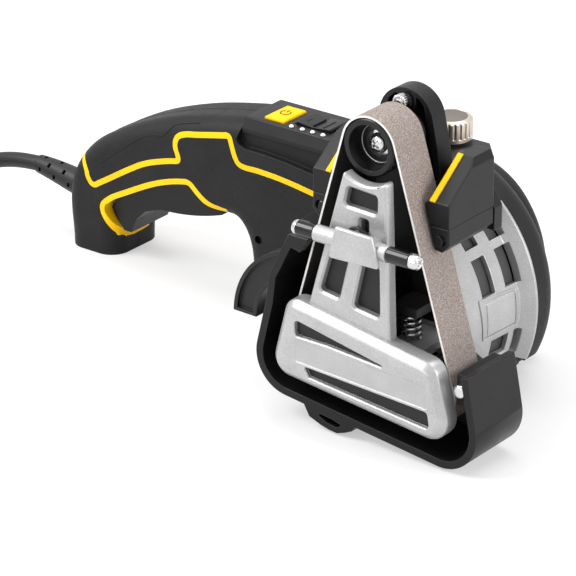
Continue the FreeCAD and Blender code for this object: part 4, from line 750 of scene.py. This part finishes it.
def addPartingLine():        # the joint between the two shells, on the outline where they meet
    loops = loopsAt(nodes["front_housing"].data, at(0, parting["depth"], 0).y)
    widest = max(loops, key=lambda loop: max(spot.x for spot in loop) - min(spot.x for spot in loop))
    lowest = -zero.z / mm + parting["radius"]        # no part of the line goes below the floor
    line = [(spot.x, spot.y, max(spot.z, lowest)) for spot in widest]
    dressed(thread("partingLine", line, parting["radius"], closed=True), "guard_plastic")


seam = {"radius": 0.38,
        "route": [(-219.5, 83, -85), (-215, 81, -88.6), (-210.6, 79, -85.8), (-204, 79, -81),
                  (-197.7, 79, -76.3), (-191, 79, -71.6), (-184.9, 79, -67.3), (-180, 79, -64.4),
                  (-175.4, 79, -62.1), (-170.5, 79, -60.8), (-166.8, 79, -60), (-164.6, 79, -58),
                  (-163, 79, -55.8), (-161.5, 79, -53.8), (-159.3, 79, -52.6), (-154, 79, -51),
                  (-148.3, 79, -49.5)]}


def addSeam():       # the edge of the soft skin on the front of the handle, laid on its surface
    line = onSurface(nodes["front_housing"], seam["route"])
    dressed(thread("skinSeam", line, seam["radius"]), "guard_plastic")


# Recesses and softened corners on the CAD pieces, as modifiers

screwCross = {"places": ((-114, -95.1), (-211, -101), (-134, -58)), "depth": 109.2, "size": (1.9, 1.3)}


def addScrewRecesses():
    cutters = []
    for i, (x, z) in enumerate(screwCross["places"]):
        spot = (x, screwCross["depth"], z)
        cutters.append(crossCutter(f"housing_screwsCross{i}", spot, (0, 1, 0), *screwCross["size"]))
    carve(nodes["housing_screws"], cutters)


towerArch = {"arc": ((0, 4.41), 13.09, 12.5, 167.5, 32), "outside": 24, "depths": (20, 36)}


def roundTower():        # the tower's top, rounded off to one arc
    outline, out = arc(*towerArch["arc"]), towerArch["outside"]
    low = outline[0][1]
    outline += [(-out, low), (-out, out), (out, out), (out, low)]
    rings = [lifted(outline, 1, depth) for depth in towerArch["depths"]]
    carve(nodes["guide_frame"], [solid("towerRound", rings)])


reliefSlots = {"start": (-225.7, 93, -103.8), "end": (-254.4, 93, -99.5), "radii": (6.3, 4.3),
               "stations": (0.24, 0.40, 0.56, 0.72, 0.88), "long": 0.75, "wide": 1.1, "deep": 1.5, "proud": 1}


def addReliefSlots():        # staggered slots cut round the strain relief, like those that let the real one bend
    start, end = [Vector(reliefSlots[key]) for key in ("start", "end")]
    wide, narrow = reliefSlots["radii"]
    along = (end - start).normalized()
    side = Vector((0, 1, 0))
    up = side.cross(along)
    corners = [(reliefSlots["long"] * a, reliefSlots["wide"] * b)
               for a, b in ((-1, -1), (1, -1), (1, 1), (-1, 1))]
    cutters = []
    for i, station in enumerate(reliefSlots["stations"]):
        middle = start.lerp(end, station)
        radius = wide * (1 - station) + narrow * station
        for quarter in range(4):
            turn = math.radians(90 * quarter + 45 * (i % 2))
            out = side * math.cos(turn) + up * math.sin(turn)
            across = along.cross(out)
            rings = [[middle + out * reach + along * a + across * b for a, b in corners]
                     for reach in (radius - reliefSlots["deep"], radius + reliefSlots["proud"])]
            cutters.append(solid(f"reliefSlot{i}_{quarter}", rings))
    carve(nodes["strain_relief"], cutters)


clipHole = {"corners": [(-22, -118, 0.6), (-12, -119.2, 0.6), (-7.5, -120.6, 0.4), (-10.5, -122.2, 0.6),
                        (-15.5, -121.2, 0.8)], "steps": [(0, -9), (0, 9)]}


def addClipHole():       # the open loop of the foot clip
    carve(nodes["belt_guard"], [plate("clipHole", clipHole["corners"], clipHole["steps"])])


softCorners = {"control_panel": 0.9, "right_guide_wing": 0.8, "left_guide_wing": 0.8, "right_wing_base": 0.6,
               "left_wing_base": 0.6, "power_button": 0.5, "belt_guard": 0.6}
bevel = {"weld": 0.01, "segments": 3, "angle": 35}


def softenCorners():     # moulded corners on the panel, the button, the wings and the guard
    for name, width in softCorners.items():
        nodes[name].modifiers.new("weld", "WELD").merge_threshold = bevel["weld"] * mm
        edge = nodes[name].modifiers.new("edge", "BEVEL")
        edge.width, edge.segments, edge.limit_method = width * mm, bevel["segments"], "ANGLE"
        edge.angle_limit = math.radians(bevel["angle"])
        edge.harden_normals = True


addPulleyScrew()
addCasting()
addEdgeGuide()
addPinPlugs()
addTrackingKnurl()
print("belt's front end made")
addMarks()
addKnobDial()
print("marks and dial made")
addFootBand()
addBellFrame()
addBellLiner()
addPartingLine()
addSeam()
print("body's details made")
addScrewRecesses()       # last, because every piece settled after them would work them out again
roundTower()
addReliefSlots()
addClipHole()
softenCorners()
print("recesses and corners made")


# Cord: the same route as its solids, on smooth curves

cordSizes = {"radius": 3.6, "pitch": 7.7, "rise": 7.7, "least": 28,        # least: the coil's inner radius
             "turnAt": 3.25, "turnsOut": 2.75, "climb": 0.5, "steps": 16}      # in turns, and steps to a turn
cordRoute = [(-254.4, 93, -99.5), (-273.4, 93, -100.2), (-300, 93, -113.2), (-322, 93, -121.1),
             (-345, 93, -121.1)]
tailRoute = [(0, 0, -113.4), (-22.6, 0, -113.4), (-45.6, -13.2, -118), (-60.6, -35.2, -119.3),
             (-64.6, -55.2, -119.3)]         # from the coil's end, with the height as it is


def cordLine(name, points):      # a smooth round cord near its points
    piece = tube(name, points, cordSizes["radius"], "NURBS", 8)
    spline = piece.data.splines[0]
    spline.order_u = 3
    spline.use_endpoint_u = True
    spline.resolution_u = 12
    return dressed(piece, "rubber")


def coilPoints():    # neat turns that spiral in, climb one layer and spiral out again
    radius, pitch, least = cordSizes["radius"], cordSizes["pitch"], cordSizes["least"]
    turnAt, steps = cordSizes["turnAt"], cordSizes["steps"]
    last = turnAt + cordSizes["turnsOut"]
    endX, endY, low = cordRoute[-1]
    startX, centreY = endX - 2 * radius, endY - (least + pitch * turnAt)
    points = [cordRoute[-1], (startX + radius, endY, low)]
    for step in range(int(last * steps) + 1):
        turns = step / steps
        angle = math.pi / 2 + 2 * math.pi * turns
        reach = least + pitch * abs(turns - turnAt)
        if 0 < turns < last:         # the curve cuts inside its points, so they stand a little out
            reach /= math.cos(math.pi / steps) ** 0.5
        height = low + cordSizes["rise"] * min(max((turns - turnAt) / cordSizes["climb"] + 0.5, 0), 1)
        points.append((startX + reach * math.cos(angle), centreY + reach * math.sin(angle), height))
    x, y, z = points[-1]
    return points + [(x - radius, y, z), (x - 2 * radius, y, z)]


def addCords():      # the free lead, the coil put away in its tie, and the tail to the plug
    lead = cordLine("powerCord", cordRoute)
    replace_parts(lead, "power_cord")
    turns = coilPoints()
    coil = cordLine("powerCordCoil", turns)
    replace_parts(coil, "power_cord_coil")
    x, y, z = turns[-1]
    tail = [(x + a, y + b, height) for a, b, height in tailRoute]
    end = cordLine("cordTail", tail)
    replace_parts(end, "cord_tail")


addCords()
print("cords laid")


# Stage: pale floor, soft lamps and a white surround

stage = {"half": 4, "paper": (0.9, 0.9, 0.9), "cloud": 60,       # the floor, in metres and millimetres
         "glow": 0.48,                               # the share of white that the camera sees on it
         "surround": 0.35, "seen": 0.65}         # the world's light, and how much more the camera sees
lamps = {        # place and size in metres, power in watts
    "topLamp": ((0.0, 0.35, 1.2), (1.3, 0.8), 12),
    "rightLamp": ((1.2, 0.1, 0.5), (0.7, 0.7), 9),
    "frontLamp": ((-0.2, -1.4, 0.5), (1.0, 0.6), 6),
    "leftLamp": ((-0.72, -0.62, 1.05), (0.8, 0.7), 17),
}
lampsAim = (-0.02, 0, 0.06)
seenBy = ("Camera", "Glossy", "Transmission")


def addFloor():
    half = stage["half"]
    mesh = bpy.data.meshes.new("floor")
    corners = [(-half, -half, 0), (half, -half, 0), (half, half, 0), (-half, half, 0)]
    mesh.from_pydata(corners, [], [(0, 1, 2, 3)])
    linked("floor", mesh)
    f = Finish("floorPaper", **{"Roughness": 0.7, "Specular IOR Level": 0.15})
    f.set(Base_Color=f.shades(f.noise(stage["cloud"], 2), stage["paper"], 0.99, 1.01))
    camera, gloss, clear = [f.add("LightPath", output=f"Is {way} Ray") for way in seenBy]
    glow = f.add("Emission", values={"Color": (1, 1, 1, 1), "Strength": 1.0}, output="Emission")
    share = (camera + gloss + clear) * stage["glow"]
    mixed = f.add("MixShader", values={0: share, 1: f.shader, 2: glow}, output="Shader")
    f.tree.links.new(mixed.socket, f.end.socket)
    mesh.materials.append(f.material)


def addSurround():       # white to the camera and in reflections, and a weaker light on the object
    world = bpy.data.worlds.new("surround")
    bpy.context.scene.world = world
    world.use_nodes = True
    tree = world.node_tree
    back = tree.nodes["Background"]
    back.inputs["Color"].default_value = (1, 1, 1, 1)
    path = tree.nodes.new("ShaderNodeLightPath")
    total = None
    for way in seenBy:
        step = tree.nodes.new("ShaderNodeMath")
        step.operation = "MULTIPLY_ADD"
        step.inputs[1].default_value, step.inputs[2].default_value = stage["seen"], stage["surround"]
        tree.links.new(path.outputs[f"Is {way} Ray"], step.inputs[0])
        if total:
            tree.links.new(total, step.inputs[2])
        total = step.outputs[0]
    tree.links.new(total, back.inputs["Strength"])


def addLamps():
    for name, (spot, (wide, high), power) in lamps.items():
        data = bpy.data.lights.new(name, "AREA")
        data.shape, data.size, data.size_y, data.energy = "RECTANGLE", wide, high, power
        lamp = linked(name, data)
        lamp.location = spot
        lamp.rotation_euler = (Vector(lampsAim) - Vector(spot)).to_track_quat("-Z", "Y").to_euler()


bpy.context.scene.view_settings.view_transform = "Standard"
addFloor()
addSurround()
addLamps()
print("stage lit")
